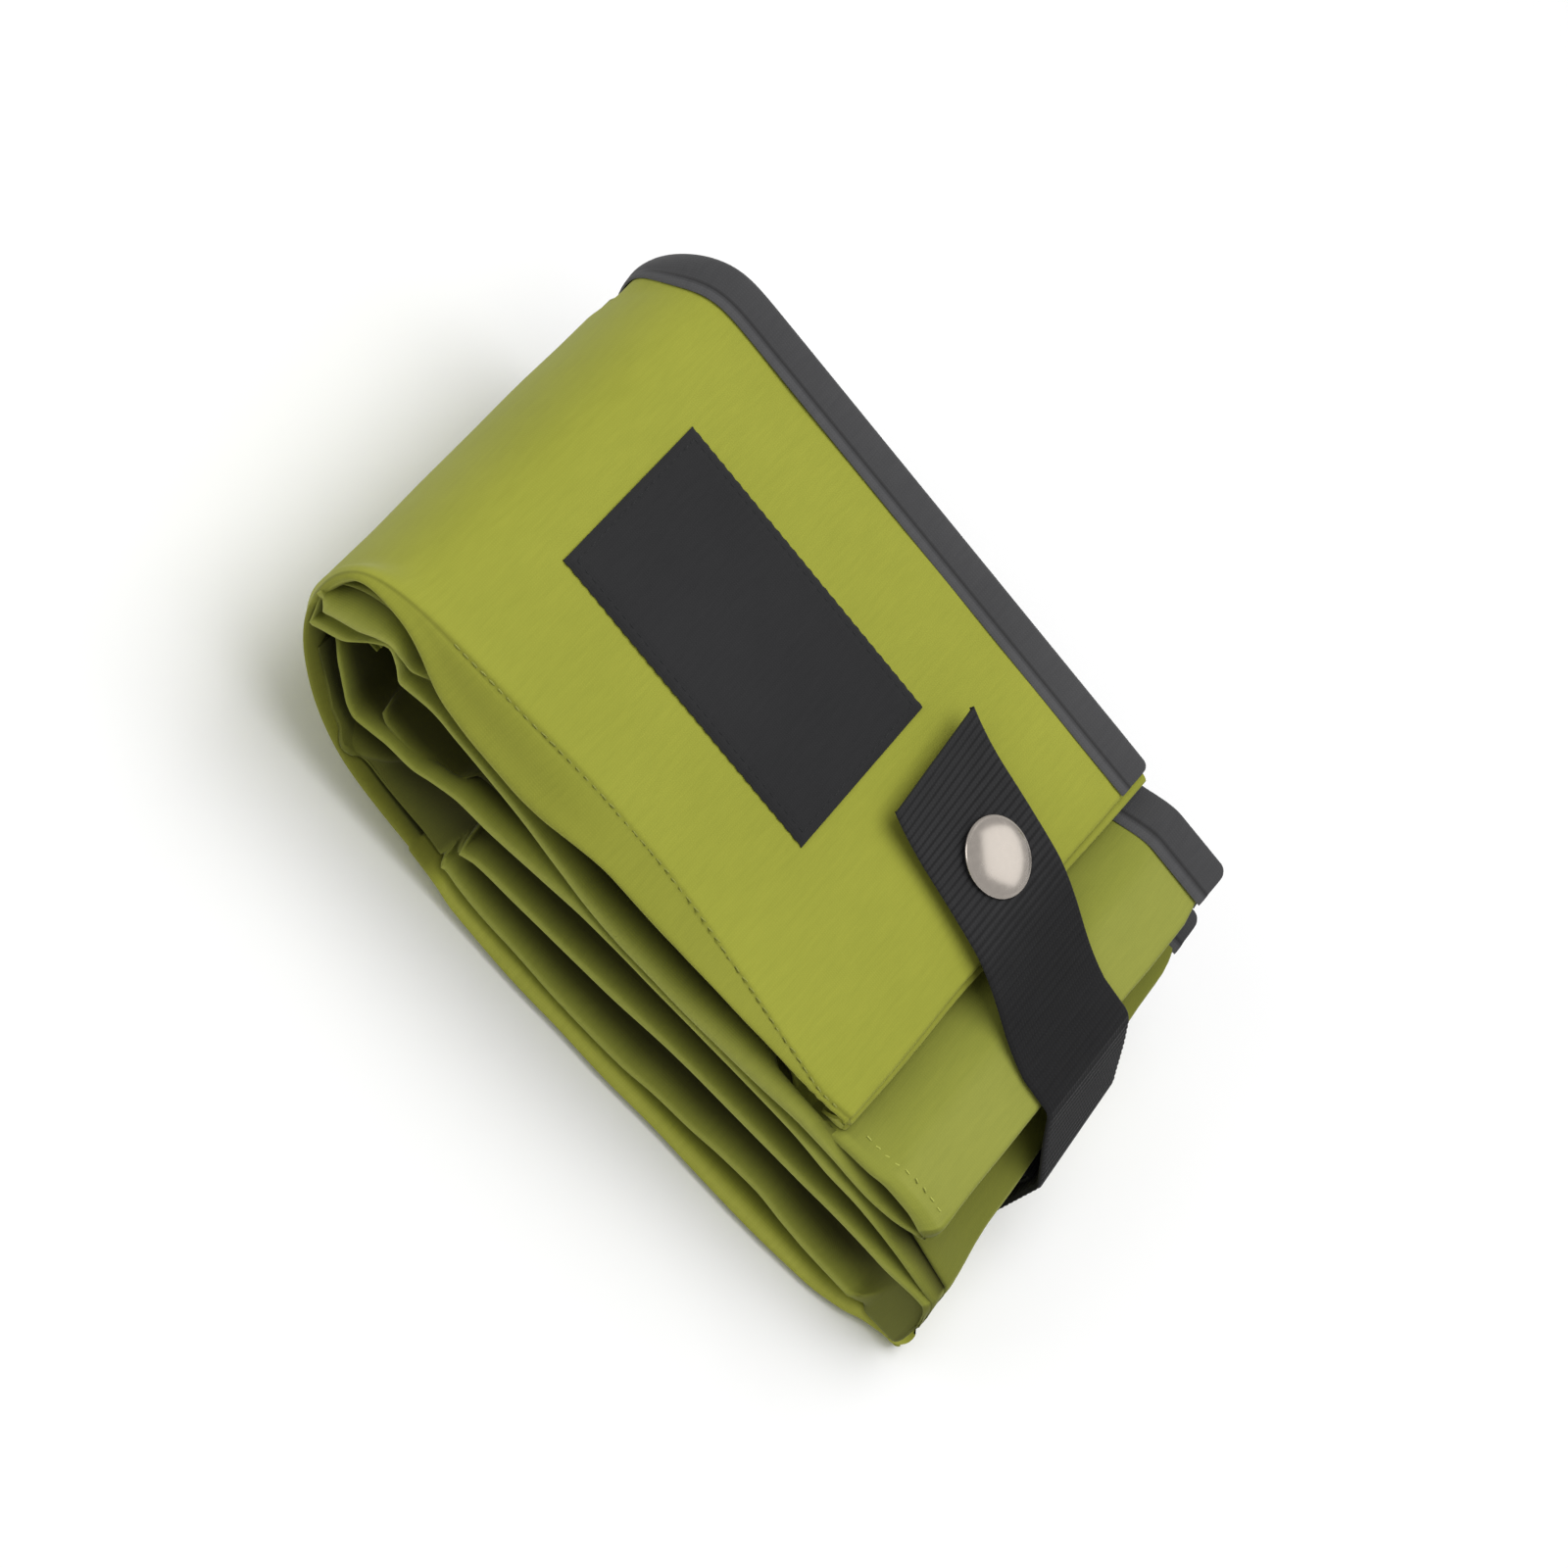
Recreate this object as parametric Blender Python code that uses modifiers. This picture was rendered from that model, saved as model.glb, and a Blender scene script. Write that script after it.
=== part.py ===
"""Foldable litter box, flattened, folded in half and held by a snap strap.

The box lies on its front wall. X runs from the fold (the spine) to the open ends, Y from the
floor side of the walls to their rim, Z up. The origin is under the middle of the pack.
Each half is a stack of thin sheets that follows the wedge-shaped pack. The left half lies on
the right half and turns on the spine; the strap's flap and tail turn at the pack's open end.
"""
import math

import bmesh
import bpy
from mathutils import Matrix, Vector

MM = 0.001

# Footprint of the folded pack, with the rim side holding the binding tapes
SPINE_X = -107.5 * MM
END_X = 107.5 * MM
NEAR_Y = -64.0 * MM
RIM_Y = 61.5 * MM
BINDING_EDGE_Y = 64.0 * MM
BINDING_WIDTH = 13.0 * MM

# Heights of the top and of the parting between the halves, at the corners of the footprint
TOP_SPINE_NEAR = 65.0 * MM
TOP_SPINE_RIM = 76.0 * MM
TOP_END_NEAR = 43.0 * MM
TOP_END_RIM = 57.5 * MM
PARTING_SPINE_NEAR = 33.0 * MM
PARTING_SPINE_RIM = 38.0 * MM
PARTING_END_NEAR = 25.5 * MM
PARTING_END_RIM = 41.0 * MM

# The nose at the spine: where its top and bottom start, and how full its underside is
NOSE_TOP_LENGTH = 21.5 * MM
NOSE_BOTTOM_LENGTH = 58.0 * MM
NOSE_POWER_SHARE = 1.35
NOSE_TURN_SHARE = 0.375

# Where each pair of layers ends on the right, at the near edge and at the rim
FRONT_LEFT_END = (53.0 * MM, 54.5 * MM)
BACK_LEFT_END = (87.0 * MM, 88.0 * MM)
BACK_RIGHT_END = (101.0 * MM, 95.0 * MM)
FRONT_RIGHT_END = (107.5 * MM, 99.0 * MM)

# Sheet thicknesses and clearances
COVER = 0.9 * MM
BOARD = 1.5 * MM
END_WALL = 1.4 * MM
TAPE = 0.5 * MM
CORNER_CLOTH = 0.9 * MM
GAP = 0.32 * MM
PARTING_GAP = 0.5 * MM

# Lengths and insets of the inner layers
END_WALL_HALF = 118.0 * MM
BACK_WALL_START = 19.5 * MM
FLOOR_LEFT_START = 23.5 * MM
FLOOR_RIGHT_START = 33.5 * MM
FLOOR_END_INSET = 6.0 * MM
NEAR_INSET = 1.5 * MM
FOLD_LENGTH = 2.7 * MM

# How the left half's inner end wall rises to the top beyond the front wall's end
SHOULDER_DEPTH = 2.5 * MM
SHOULDER_START_X = 57.0 * MM
SHOULDER_END_X = 76.0 * MM

# Axis of the fold between the halves, and of the strap's two hinge lines
FOLD_AXIS_INSET = 6.5 * MM
STRAP_WIDTH = 34.0 * MM
STRAP_THICKNESS = 1.2 * MM
STRAP_FREE_END_X = 15.0 * MM
STRAP_FREE_END_Y = 16.0 * MM
STRAP_HINGE_X = 79.5 * MM
STRAP_HINGE_Y = 0.5 * MM
STRAP_TAIL_Y = -4.0 * MM
STRAP_END_RISE = 2.0 * MM
STRAP_RISE_LENGTH = 15.0 * MM
STRAP_SETTLE_X = 50.0 * MM
STRAP_SEAT_GAP = 0.36 * MM
STRAP_LEDGE = 7.5 * MM
STRAP_BEND_RADIUS = 4.4 * MM
STRAP_KNEE_RADIUS = 3.0 * MM
STRAP_DROP_DEGREES = 55.0
STRAP_SEWN_DROP = 4.0 * MM
STRAP_TAIL_Z = 11.5 * MM

# Press snap
SNAP_X = 40.5 * MM
SNAP_Y = 12.0 * MM
POST_RADIUS = 1.6 * MM
POST_CLEARANCE = 0.35 * MM
STUD_RADIUS = 5.0 * MM
STUD_HEIGHT = 0.5 * MM
KNOB_RADIUS = 2.2 * MM
KNOB_HEIGHT = 0.9 * MM
SOCKET_RADIUS = 6.0 * MM
SOCKET_HEIGHT = 1.4 * MM
CAP_RADIUS = 8.25 * MM
CAP_RIM = 0.7 * MM
CAP_DOME = 1.9 * MM
WASHER_RADIUS = 5.5 * MM
WASHER_HEIGHT = 0.8 * MM
HOLE_OVERRUN = 4.0 * MM

# Label patch and touch fastener
LABEL_LENGTH = 80.0 * MM
LABEL_WIDTH = 48.0 * MM
LABEL_X = -33.8 * MM
LABEL_Y = 0.5 * MM
LABEL_THICKNESS = 0.9 * MM
PATCH_WIDTH = 24.0 * MM
PATCH_THICKNESS = 0.9 * MM
PATCH_BOTTOM_Z = 13.0 * MM
PATCH_TOP_Z = 28.0 * MM

# Fineness of the sheets, tapes and round pieces
SHEET_STEPS = (8, 4)
TAPE_STEPS = (8, 8)
TAPE_LEG_SHARE = 0.125
SMALL_STEPS = (3, 3)
NOSE_STEPS = (16, 4)
NOSE_TAPE_STEPS = (16, 8)
FLAP_STEPS = (20, 3)
TAIL_STEPS = (16, 3)
BEND_STEPS = (12, 3)
END_ROUND_SHARE = 0.12
ROUND_SEGMENTS = 32
DOME_STEPS = 6
SHARP_DEGREES = 40.0

# Colours, from the photo
CLOTH_GREEN = (0.36, 0.38, 0.06, 1.0)
CLOTH_SHADE = (0.22, 0.24, 0.045, 1.0)
LINING_GREY = (0.30, 0.31, 0.30, 1.0)
BOARD_WHITE = (0.62, 0.61, 0.57, 1.0)
BINDING_GREY = (0.055, 0.058, 0.062, 1.0)
WEBBING_BLACK = (0.02, 0.02, 0.02, 1.0)
LABEL_GREY = (0.033, 0.033, 0.034, 1.0)
NICKEL = (0.62, 0.58, 0.53, 1.0)


# Materials and objects


def make_material(name, colour, roughness, metallic=0.0):
    """A Principled material for one kind of surface."""
    material = bpy.data.materials.new(name)
    material.use_nodes = True
    shader = material.node_tree.nodes["Principled BSDF"]
    shader.inputs["Base Color"].default_value = colour
    shader.inputs["Roughness"].default_value = roughness
    shader.inputs["Metallic"].default_value = metallic
    material.diffuse_color = colour
    return material


def make_collection(name):
    """A collection linked to the scene."""
    collection = bpy.data.collections.new(name)
    bpy.context.scene.collection.children.link(collection)
    return collection


for old_object in list(bpy.data.objects):
    bpy.data.objects.remove(old_object, do_unlink=True)

PARTS = make_collection("foldable_litter_box")
CUTTERS = make_collection("cutters")
CLOTH = make_material("woven_cloth", CLOTH_GREEN, 0.75)
INNER_CLOTH = make_material("inner_cloth", CLOTH_SHADE, 0.8)
LINING = make_material("coated_lining", LINING_GREY, 0.5)
STIFFENER = make_material("stiffener_board", BOARD_WHITE, 0.6)
BINDING = make_material("binding_tape", BINDING_GREY, 0.85)
WEBBING = make_material("strap_webbing", WEBBING_BLACK, 0.8)
PATCH = make_material("label_patch", LABEL_GREY, 0.7)
METAL = make_material("snap_metal", NICKEL, 0.3, 1.0)


def add_object(name, bm, material):
    """Store a finished bmesh as a named part, smooth but for its sharp edges."""
    mesh = bpy.data.meshes.new(name)
    bm.to_mesh(mesh)
    bm.free()
    mesh.materials.append(material)
    mesh.shade_smooth()
    mesh.set_sharp_from_angle(angle=math.radians(SHARP_DEGREES))
    obj = bpy.data.objects.new(name, mesh)
    PARTS.objects.link(obj)
    return obj


def add_axis(name, place):
    """An empty on a joint's axis, which carries the pieces that turn there."""
    axis = bpy.data.objects.new(name, None)
    axis.location = place
    PARTS.objects.link(axis)
    return axis


def carry(axis, pieces):
    """Parent pieces to an axis without moving them."""
    for piece in pieces:
        piece.parent = axis
        piece.matrix_parent_inverse = Matrix.Translation(axis.location).inverted()


def slab(name, material, steps, surface, depths):
    """A closed sheet: a grid on surface(u, v, first depth), extruded to the second depth."""
    bm = bmesh.new()
    bmesh.ops.create_grid(bm, x_segments=steps[0], y_segments=steps[1], size=1.0)
    outer = set(bm.verts)
    bmesh.ops.extrude_face_region(bm, geom=bm.faces[:])
    for vert in bm.verts:
        u = (vert.co.x + 1.0) / 2.0
        v = (vert.co.y + 1.0) / 2.0
        vert.co = surface(u, v, depths[0] if vert in outer else depths[1])
    bmesh.ops.recalc_face_normals(bm, faces=bm.faces)
    if bm.calc_volume(signed=True) < 0.0:
        bmesh.ops.reverse_faces(bm, faces=bm.faces)
    return add_object(name, bm, material)


def turned(name, material, profile, base, turn):
    """A turned piece: a closed profile of (radius, height) points, with a Screw modifier."""
    bm = bmesh.new()
    verts = [bm.verts.new((radius, 0.0, height)) for radius, height in profile]
    for first, second in zip(verts, verts[1:]):
        bm.edges.new((first, second))
    if profile[0][0] > 0.0:
        bm.edges.new((verts[-1], verts[0]))
    obj = add_object(name, bm, material)
    screw = obj.modifiers.new("turn", "SCREW")
    screw.steps = ROUND_SEGMENTS
    screw.render_steps = ROUND_SEGMENTS
    screw.use_merge_vertices = True
    screw.merge_threshold = POST_CLEARANCE / 100.0
    screw.use_normal_flip = True
    screw.use_smooth_shade = True
    obj.location = base
    obj.rotation_euler = turn
    return obj


def mix(first, second, share):
    """Linear blend of two lengths."""
    return first + (second - first) * share


def smooth(share):
    """Ease from 0 to 1, held beyond both ends."""
    share = min(max(share, 0.0), 1.0)
    return share * share * (3.0 - 2.0 * share)


# Surfaces of the pack


def inward_share(y):
    return (y - NEAR_Y) / (BINDING_EDGE_Y - NEAR_Y)


def across_share(x):
    return (x - SPINE_X) / (END_X - SPINE_X)


def end_at(ends, y):
    """Right end of a pair of layers at one Y."""
    return mix(ends[0], ends[1], inward_share(y))


def top_height(x, y):
    """Top of the pack, over the left half's front wall."""
    spine = mix(TOP_SPINE_NEAR, TOP_SPINE_RIM, inward_share(y))
    end = mix(TOP_END_NEAR, TOP_END_RIM, inward_share(y))
    return mix(spine, end, across_share(x))


def parting_height(x, y):
    """Surface where the two halves meet."""
    spine = mix(PARTING_SPINE_NEAR, PARTING_SPINE_RIM, inward_share(y))
    end = mix(PARTING_END_NEAR, PARTING_END_RIM, inward_share(y))
    return mix(spine, end, across_share(x))


def bottom_height(x, y):
    """Underside of the pack: flat, rising in a curve to the nose."""
    inset = min(max(1.0 - (x - SPINE_X) / NOSE_BOTTOM_LENGTH, 0.0), 1.0)
    rise = 1.0 - (1.0 - inset ** NOSE_POWER_SHARE) ** (1.0 / NOSE_POWER_SHARE)
    return parting_height(SPINE_X, y) * rise


def nose_line(share, y):
    """Side view of the spine cover: from the top, round the nose, to the flat underside."""
    waist = parting_height(SPINE_X, y)
    if share < NOSE_TURN_SHARE:
        angle = share / NOSE_TURN_SHARE * math.pi / 2.0
        top_x = SPINE_X + NOSE_TOP_LENGTH
        top_z = top_height(top_x, y)
        return top_x - NOSE_TOP_LENGTH * math.sin(angle), waist + (top_z - waist) * math.cos(angle)
    angle = (share - NOSE_TURN_SHARE) / (1.0 - NOSE_TURN_SHARE) * math.pi / 2.0
    power = 2.0 / NOSE_POWER_SHARE
    x = SPINE_X + NOSE_BOTTOM_LENGTH * (1.0 - math.cos(angle) ** power)
    return x, waist * (1.0 - math.sin(angle) ** power)


def nose_surface(share, y, depth):
    """A point at a depth inside the spine cover's outer face."""
    small_share = 0.01
    x, z = nose_line(share, y)
    before = nose_line(max(share - small_share, 0.0), y)
    after = nose_line(min(share + small_share, 1.0), y)
    run = Vector((after[0] - before[0], after[1] - before[1])).normalized()
    return Vector((x - run.y * depth, y, z + run.x * depth))


# Sheets and tapes


def wall_surface(face, start_x, ends):
    """Places on a wall: share along X, then Y, then depth inwards from face(x, y, depth)."""

    def surface(share, y, depth):
        x = mix(start_x, end_at(ends, y), share)
        return Vector((x, y, face(x, y, depth)))

    return surface


def sheet(name, material, surface, depths, y_range, steps=SHEET_STEPS):
    """A sheet of a wall or of the floor."""
    return slab(name, material, steps, lambda u, v, depth: surface(u, mix(*y_range, v), depth), depths)


def rim_tape(name, surface, depths, steps=TAPE_STEPS):
    """A binding tape folded over the rim of the sheet between two depths."""
    middle = (depths[0] + depths[1]) / 2.0
    inner = (depths[1] - depths[0]) / 2.0 + GAP
    outer = inner + TAPE
    centre_y = BINDING_EDGE_Y - outer
    start_y = BINDING_EDGE_Y - BINDING_WIDTH

    def around(u, v, radius):
        leg = min(v, 1.0 - v) / TAPE_LEG_SHARE
        if leg < 1.0:
            side = -radius if v < 0.5 else radius
            return surface(u, mix(start_y, centre_y, leg), middle + side)
        angle = (v - TAPE_LEG_SHARE) / (1.0 - TAPE_LEG_SHARE * 2.0) * math.pi
        y = centre_y + radius * math.sin(angle)
        return surface(u, y, middle - radius * math.cos(angle))

    return slab(name, BINDING, steps, around, (outer, inner))


class Depth:
    """Depths of the layers of one half: of the front group from the outer face, of the back
    group from the parting."""

    tapes = GAP + TAPE + GAP + TAPE + GAP
    board = COVER + GAP
    end_front = board + BOARD + tapes
    end_back = end_front + END_WALL + tapes
    floor = end_back + END_WALL + GAP
    back_cover = PARTING_GAP / 2.0
    back_board = back_cover + COVER + GAP
    floor_back = back_board + BOARD + GAP


COVER_Y = (NEAR_Y, BINDING_EDGE_Y - BINDING_WIDTH - GAP)
WALL_Y = (NEAR_Y, RIM_Y)
END_WALL_Y = (NEAR_Y + NEAR_INSET, RIM_Y)
FLOOR_Y = (NEAR_Y + NEAR_INSET, COVER_Y[1])


def behind_corner(ends):
    """Where the layers stop behind a corner fold."""
    return tuple(end - CORNER_CLOTH - GAP for end in ends)


def half(side, face, shoulder, sign, front_start, floor_start, front_ends, back_ends):
    """All sheets, tapes and corner folds of one half.

    face(x, y) is its outer side, sign is 1 when the layers go up from there, and shoulder(x)
    is how far the inner end wall rises towards the outer side.
    """

    def from_face(x, y, depth):
        return face(x, y) + sign * depth

    def from_parting(x, y, depth):
        return parting_height(x, y) - sign * depth

    def end_wall_face(x, y, depth):
        return from_face(x, y, depth - shoulder(x))

    def floor_face(x, y, share):
        outer = from_face(x, y, Depth.floor)
        return mix(outer, from_parting(x, y, Depth.floor_back), share)

    front_in = behind_corner(front_ends)
    back_in = behind_corner(back_ends)
    back_start = SPINE_X + BACK_WALL_START
    floor_ends = tuple(end - FLOOR_END_INSET for end in back_ends)
    end_start = behind_corner(front_ends)[0] - END_WALL_HALF
    inner_start = behind_corner(back_ends)[0] - END_WALL_HALF
    front = wall_surface(from_face, front_start, front_in)
    end_front = wall_surface(from_face, end_start, front_in)
    end_back = wall_surface(end_wall_face, inner_start, back_in)
    back = wall_surface(from_parting, back_start, back_in)
    floor = wall_surface(floor_face, floor_start, floor_ends)
    seam_share = GAP / (PARTING_SPINE_NEAR - Depth.floor) / 2.0

    walls = (
        ("front_board", STIFFENER, front, (Depth.board, Depth.board + BOARD), WALL_Y),
        ("end_wall_front", INNER_CLOTH, end_front, (Depth.end_front, Depth.end_front + END_WALL), END_WALL_Y),
        ("end_wall_back", INNER_CLOTH, end_back, (Depth.end_back, Depth.end_back + END_WALL), END_WALL_Y),
        ("back_board", STIFFENER, back, (Depth.back_board, Depth.back_board + BOARD), WALL_Y),
    )
    pieces = {}
    for name, material, surface, depths, y_range in walls:
        pieces[name] = sheet(f"{name}_{side}", material, surface, depths, y_range)
        pieces[name + "_tape"] = rim_tape(f"{name}_binding_{side}", surface, depths)
    pieces["front_cover"] = sheet(f"front_cover_{side}", CLOTH, front, (0.0, COVER), COVER_Y)
    back_depths = (Depth.back_cover, Depth.back_cover + COVER)
    pieces["back_cover"] = sheet(f"back_cover_{side}", CLOTH, back, back_depths, COVER_Y)
    floor_depths = (0.0, 0.5 - seam_share), (0.5 + seam_share, 1.0)
    pieces["floor_front"] = sheet(f"floor_front_{side}", LINING, floor, floor_depths[0], FLOOR_Y)
    pieces["floor_back"] = sheet(f"floor_back_{side}", LINING, floor, floor_depths[1], FLOOR_Y)

    def corner(ends, bottom, top):
        def surface(u, y, depth):
            x = end_at(ends, y)
            return Vector((x - depth, y, mix(bottom(x, y), top(x, y), u)))

        return surface

    front_corner = corner(front_ends, lambda x, y: from_face(x, y, 0.0),
                          lambda x, y: from_face(x, y, Depth.end_front + END_WALL))
    back_corner = corner(back_ends, lambda x, y: end_wall_face(x, y, Depth.end_back),
                         lambda x, y: from_parting(x, y, Depth.back_cover))
    cloth = (0.0, CORNER_CLOTH)
    pieces["corner_front"] = sheet(f"corner_front_{side}", CLOTH, front_corner, cloth, COVER_Y, SMALL_STEPS)
    pieces["corner_back"] = sheet(f"corner_back_{side}", CLOTH, back_corner, cloth, COVER_Y, SMALL_STEPS)
    return pieces


def left_shoulder(x):
    share = smooth((x - SHOULDER_START_X) / (SHOULDER_END_X - SHOULDER_START_X))
    return (Depth.end_back - SHOULDER_DEPTH) * share


LEFT = half("left", top_height, left_shoulder, -1.0, SPINE_X + NOSE_TOP_LENGTH + GAP,
            SPINE_X + FLOOR_LEFT_START, FRONT_LEFT_END, BACK_LEFT_END)
RIGHT = half("right", bottom_height, lambda x: 0.0, 1.0, SPINE_X + NOSE_BOTTOM_LENGTH + GAP,
             SPINE_X + FLOOR_RIGHT_START, FRONT_RIGHT_END, BACK_RIGHT_END)


# Spine: the front wall's middle round the nose, and the tight fold of the back wall


def back_fold_surface(share, y, depth):
    """A U from the upper back cover round to the lower one."""
    start_x = SPINE_X + BACK_WALL_START - GAP
    centre_x = start_x - FOLD_LENGTH
    radius = Depth.back_cover + COVER - depth
    leg = min(share, 1.0 - share) / TAPE_LEG_SHARE
    if leg < 1.0:
        x = mix(start_x, centre_x, leg)
        side = radius if share < 0.5 else -radius
        return Vector((x, y, parting_height(x, y) + side))
    angle = (share - TAPE_LEG_SHARE) / (1.0 - TAPE_LEG_SHARE * 2.0) * math.pi
    x = centre_x - radius * math.sin(angle)
    return Vector((x, y, parting_height(x, y) + radius * math.cos(angle)))


SPINE_COVER = sheet("spine_cover", CLOTH, nose_surface, (0.0, COVER), COVER_Y, NOSE_STEPS)
SPINE_LINING = sheet("spine_lining", LINING, nose_surface, (Depth.board, Depth.board + COVER), WALL_Y, NOSE_STEPS)
SPINE_BINDING = rim_tape("spine_binding", nose_surface, (Depth.board, Depth.board + COVER), NOSE_TAPE_STEPS)
BACK_FOLD = sheet("back_wall_fold", CLOTH, back_fold_surface, (0.0, COVER), COVER_Y, TAPE_STEPS)


# Label patch on the top


def label_surface(share, y, depth):
    x = LABEL_X + LABEL_LENGTH * (share - 0.5)
    return Vector((x, y, top_height(x, y) + GAP + LABEL_THICKNESS - depth))


LABEL_Y_RANGE = (LABEL_Y - LABEL_WIDTH / 2.0, LABEL_Y + LABEL_WIDTH / 2.0)
LABEL = sheet("label_patch", PATCH, label_surface, (0.0, LABEL_THICKNESS), LABEL_Y_RANGE, SMALL_STEPS)


# Press snap, on the normal of the top at the snap

STUD_BASE = GAP
KNOB_BASE = STUD_BASE + STUD_HEIGHT
KNOB_TOP = KNOB_BASE + KNOB_HEIGHT
SOCKET_BASE = KNOB_BASE + GAP
STRAP_UNDER = SOCKET_BASE + SOCKET_HEIGHT + GAP
CAP_BASE = STRAP_UNDER + STRAP_THICKNESS + GAP
WASHER_TOP = -(Depth.board + BOARD + GAP)
HOLE_RADIUS = POST_RADIUS + POST_CLEARANCE


def top_normal(x, y):
    """Normal of the top's plane at a place."""
    slope_x = (top_height(x + GAP, y) - top_height(x, y)) / GAP
    slope_y = (top_height(x, y + GAP) - top_height(x, y)) / GAP
    return Vector((-slope_x, -slope_y, 1.0)).normalized()


SNAP_NORMAL = top_normal(SNAP_X, SNAP_Y)
SNAP_BASE = Vector((SNAP_X, SNAP_Y, top_height(SNAP_X, SNAP_Y)))
SNAP_TURN = SNAP_NORMAL.to_track_quat("Z", "Y").to_euler()


def ring(name, radius, inner, bottom, top):
    """A flat ring round the snap's axis."""
    profile = ((inner, bottom), (radius, bottom), (radius, top), (inner, top))
    return turned(name, METAL, profile, SNAP_BASE, SNAP_TURN)


def snap_stud():
    """Flange and knob above the panel, with the post that is set through it."""
    post_end = WASHER_TOP - WASHER_HEIGHT
    profile = ((0.0, post_end), (POST_RADIUS, post_end), (POST_RADIUS, STUD_BASE), (STUD_RADIUS, STUD_BASE),
               (STUD_RADIUS, KNOB_BASE), (KNOB_RADIUS, KNOB_BASE), (KNOB_RADIUS, KNOB_TOP), (0.0, KNOB_TOP))
    return turned("snap_stud", METAL, profile, SNAP_BASE, SNAP_TURN)


def snap_cap():
    """Domed cap with its post through the strap into the socket."""
    post_end = KNOB_TOP + GAP
    profile = [(0.0, post_end), (POST_RADIUS, post_end), (POST_RADIUS, CAP_BASE), (CAP_RADIUS, CAP_BASE)]
    for step in range(DOME_STEPS):
        angle = step / DOME_STEPS * math.pi / 2.0
        height = CAP_BASE + CAP_RIM + CAP_DOME * math.sin(angle)
        profile.append((CAP_RADIUS * math.cos(angle), height))
    profile.append((0.0, CAP_BASE + CAP_RIM + CAP_DOME))
    return turned("snap_cap", METAL, profile, SNAP_BASE, SNAP_TURN)


SNAP_STUD = snap_stud()
SNAP_CAP = snap_cap()
SNAP_SOCKET = ring("snap_socket", SOCKET_RADIUS, KNOB_RADIUS + POST_CLEARANCE, SOCKET_BASE,
                   SOCKET_BASE + SOCKET_HEIGHT)
SNAP_WASHER = ring("snap_washer", WASHER_RADIUS, HOLE_RADIUS, WASHER_TOP - WASHER_HEIGHT, WASHER_TOP)


# Strap: a flap over the top, a bend sewn at the open end, and a tail down the end face

STRAP_HALF = STRAP_THICKNESS / 2.0
STRAP_SEAT = -(SHOULDER_DEPTH - STRAP_SEAT_GAP - STRAP_HALF)
TILT_SLOPE = (top_height(STRAP_HINGE_X, BINDING_EDGE_Y) - top_height(STRAP_HINGE_X, NEAR_Y)) / (
    BINDING_EDGE_Y - NEAR_Y)
TAIL_SKEW = (BACK_RIGHT_END[1] - BACK_RIGHT_END[0]) / (BINDING_EDGE_Y - NEAR_Y)


def rounded_half(from_start, from_end):
    """Half thickness near a full-round end, from the distances to both ends."""
    near = min(from_start, from_end, STRAP_HALF)
    return math.sqrt(max(STRAP_HALF ** 2 - (STRAP_HALF - near) ** 2, (STRAP_HALF * END_ROUND_SHARE) ** 2))


def eased_ends(share):
    """Spread of steps along a strip, closer towards both of its round ends."""
    return (1.0 - math.cos(math.pi * share)) / 2.0


def strap_lift(x):
    """Height of the strap's middle line over the top of the pack."""
    level = STRAP_UNDER + STRAP_HALF
    settle = smooth((x - STRAP_SETTLE_X) / (STRAP_HINGE_X - STRAP_SETTLE_X))
    rise = max(STRAP_FREE_END_X + STRAP_RISE_LENGTH - x, 0.0) / STRAP_RISE_LENGTH
    return mix(level, STRAP_SEAT, settle) + STRAP_END_RISE * rise * rise


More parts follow.
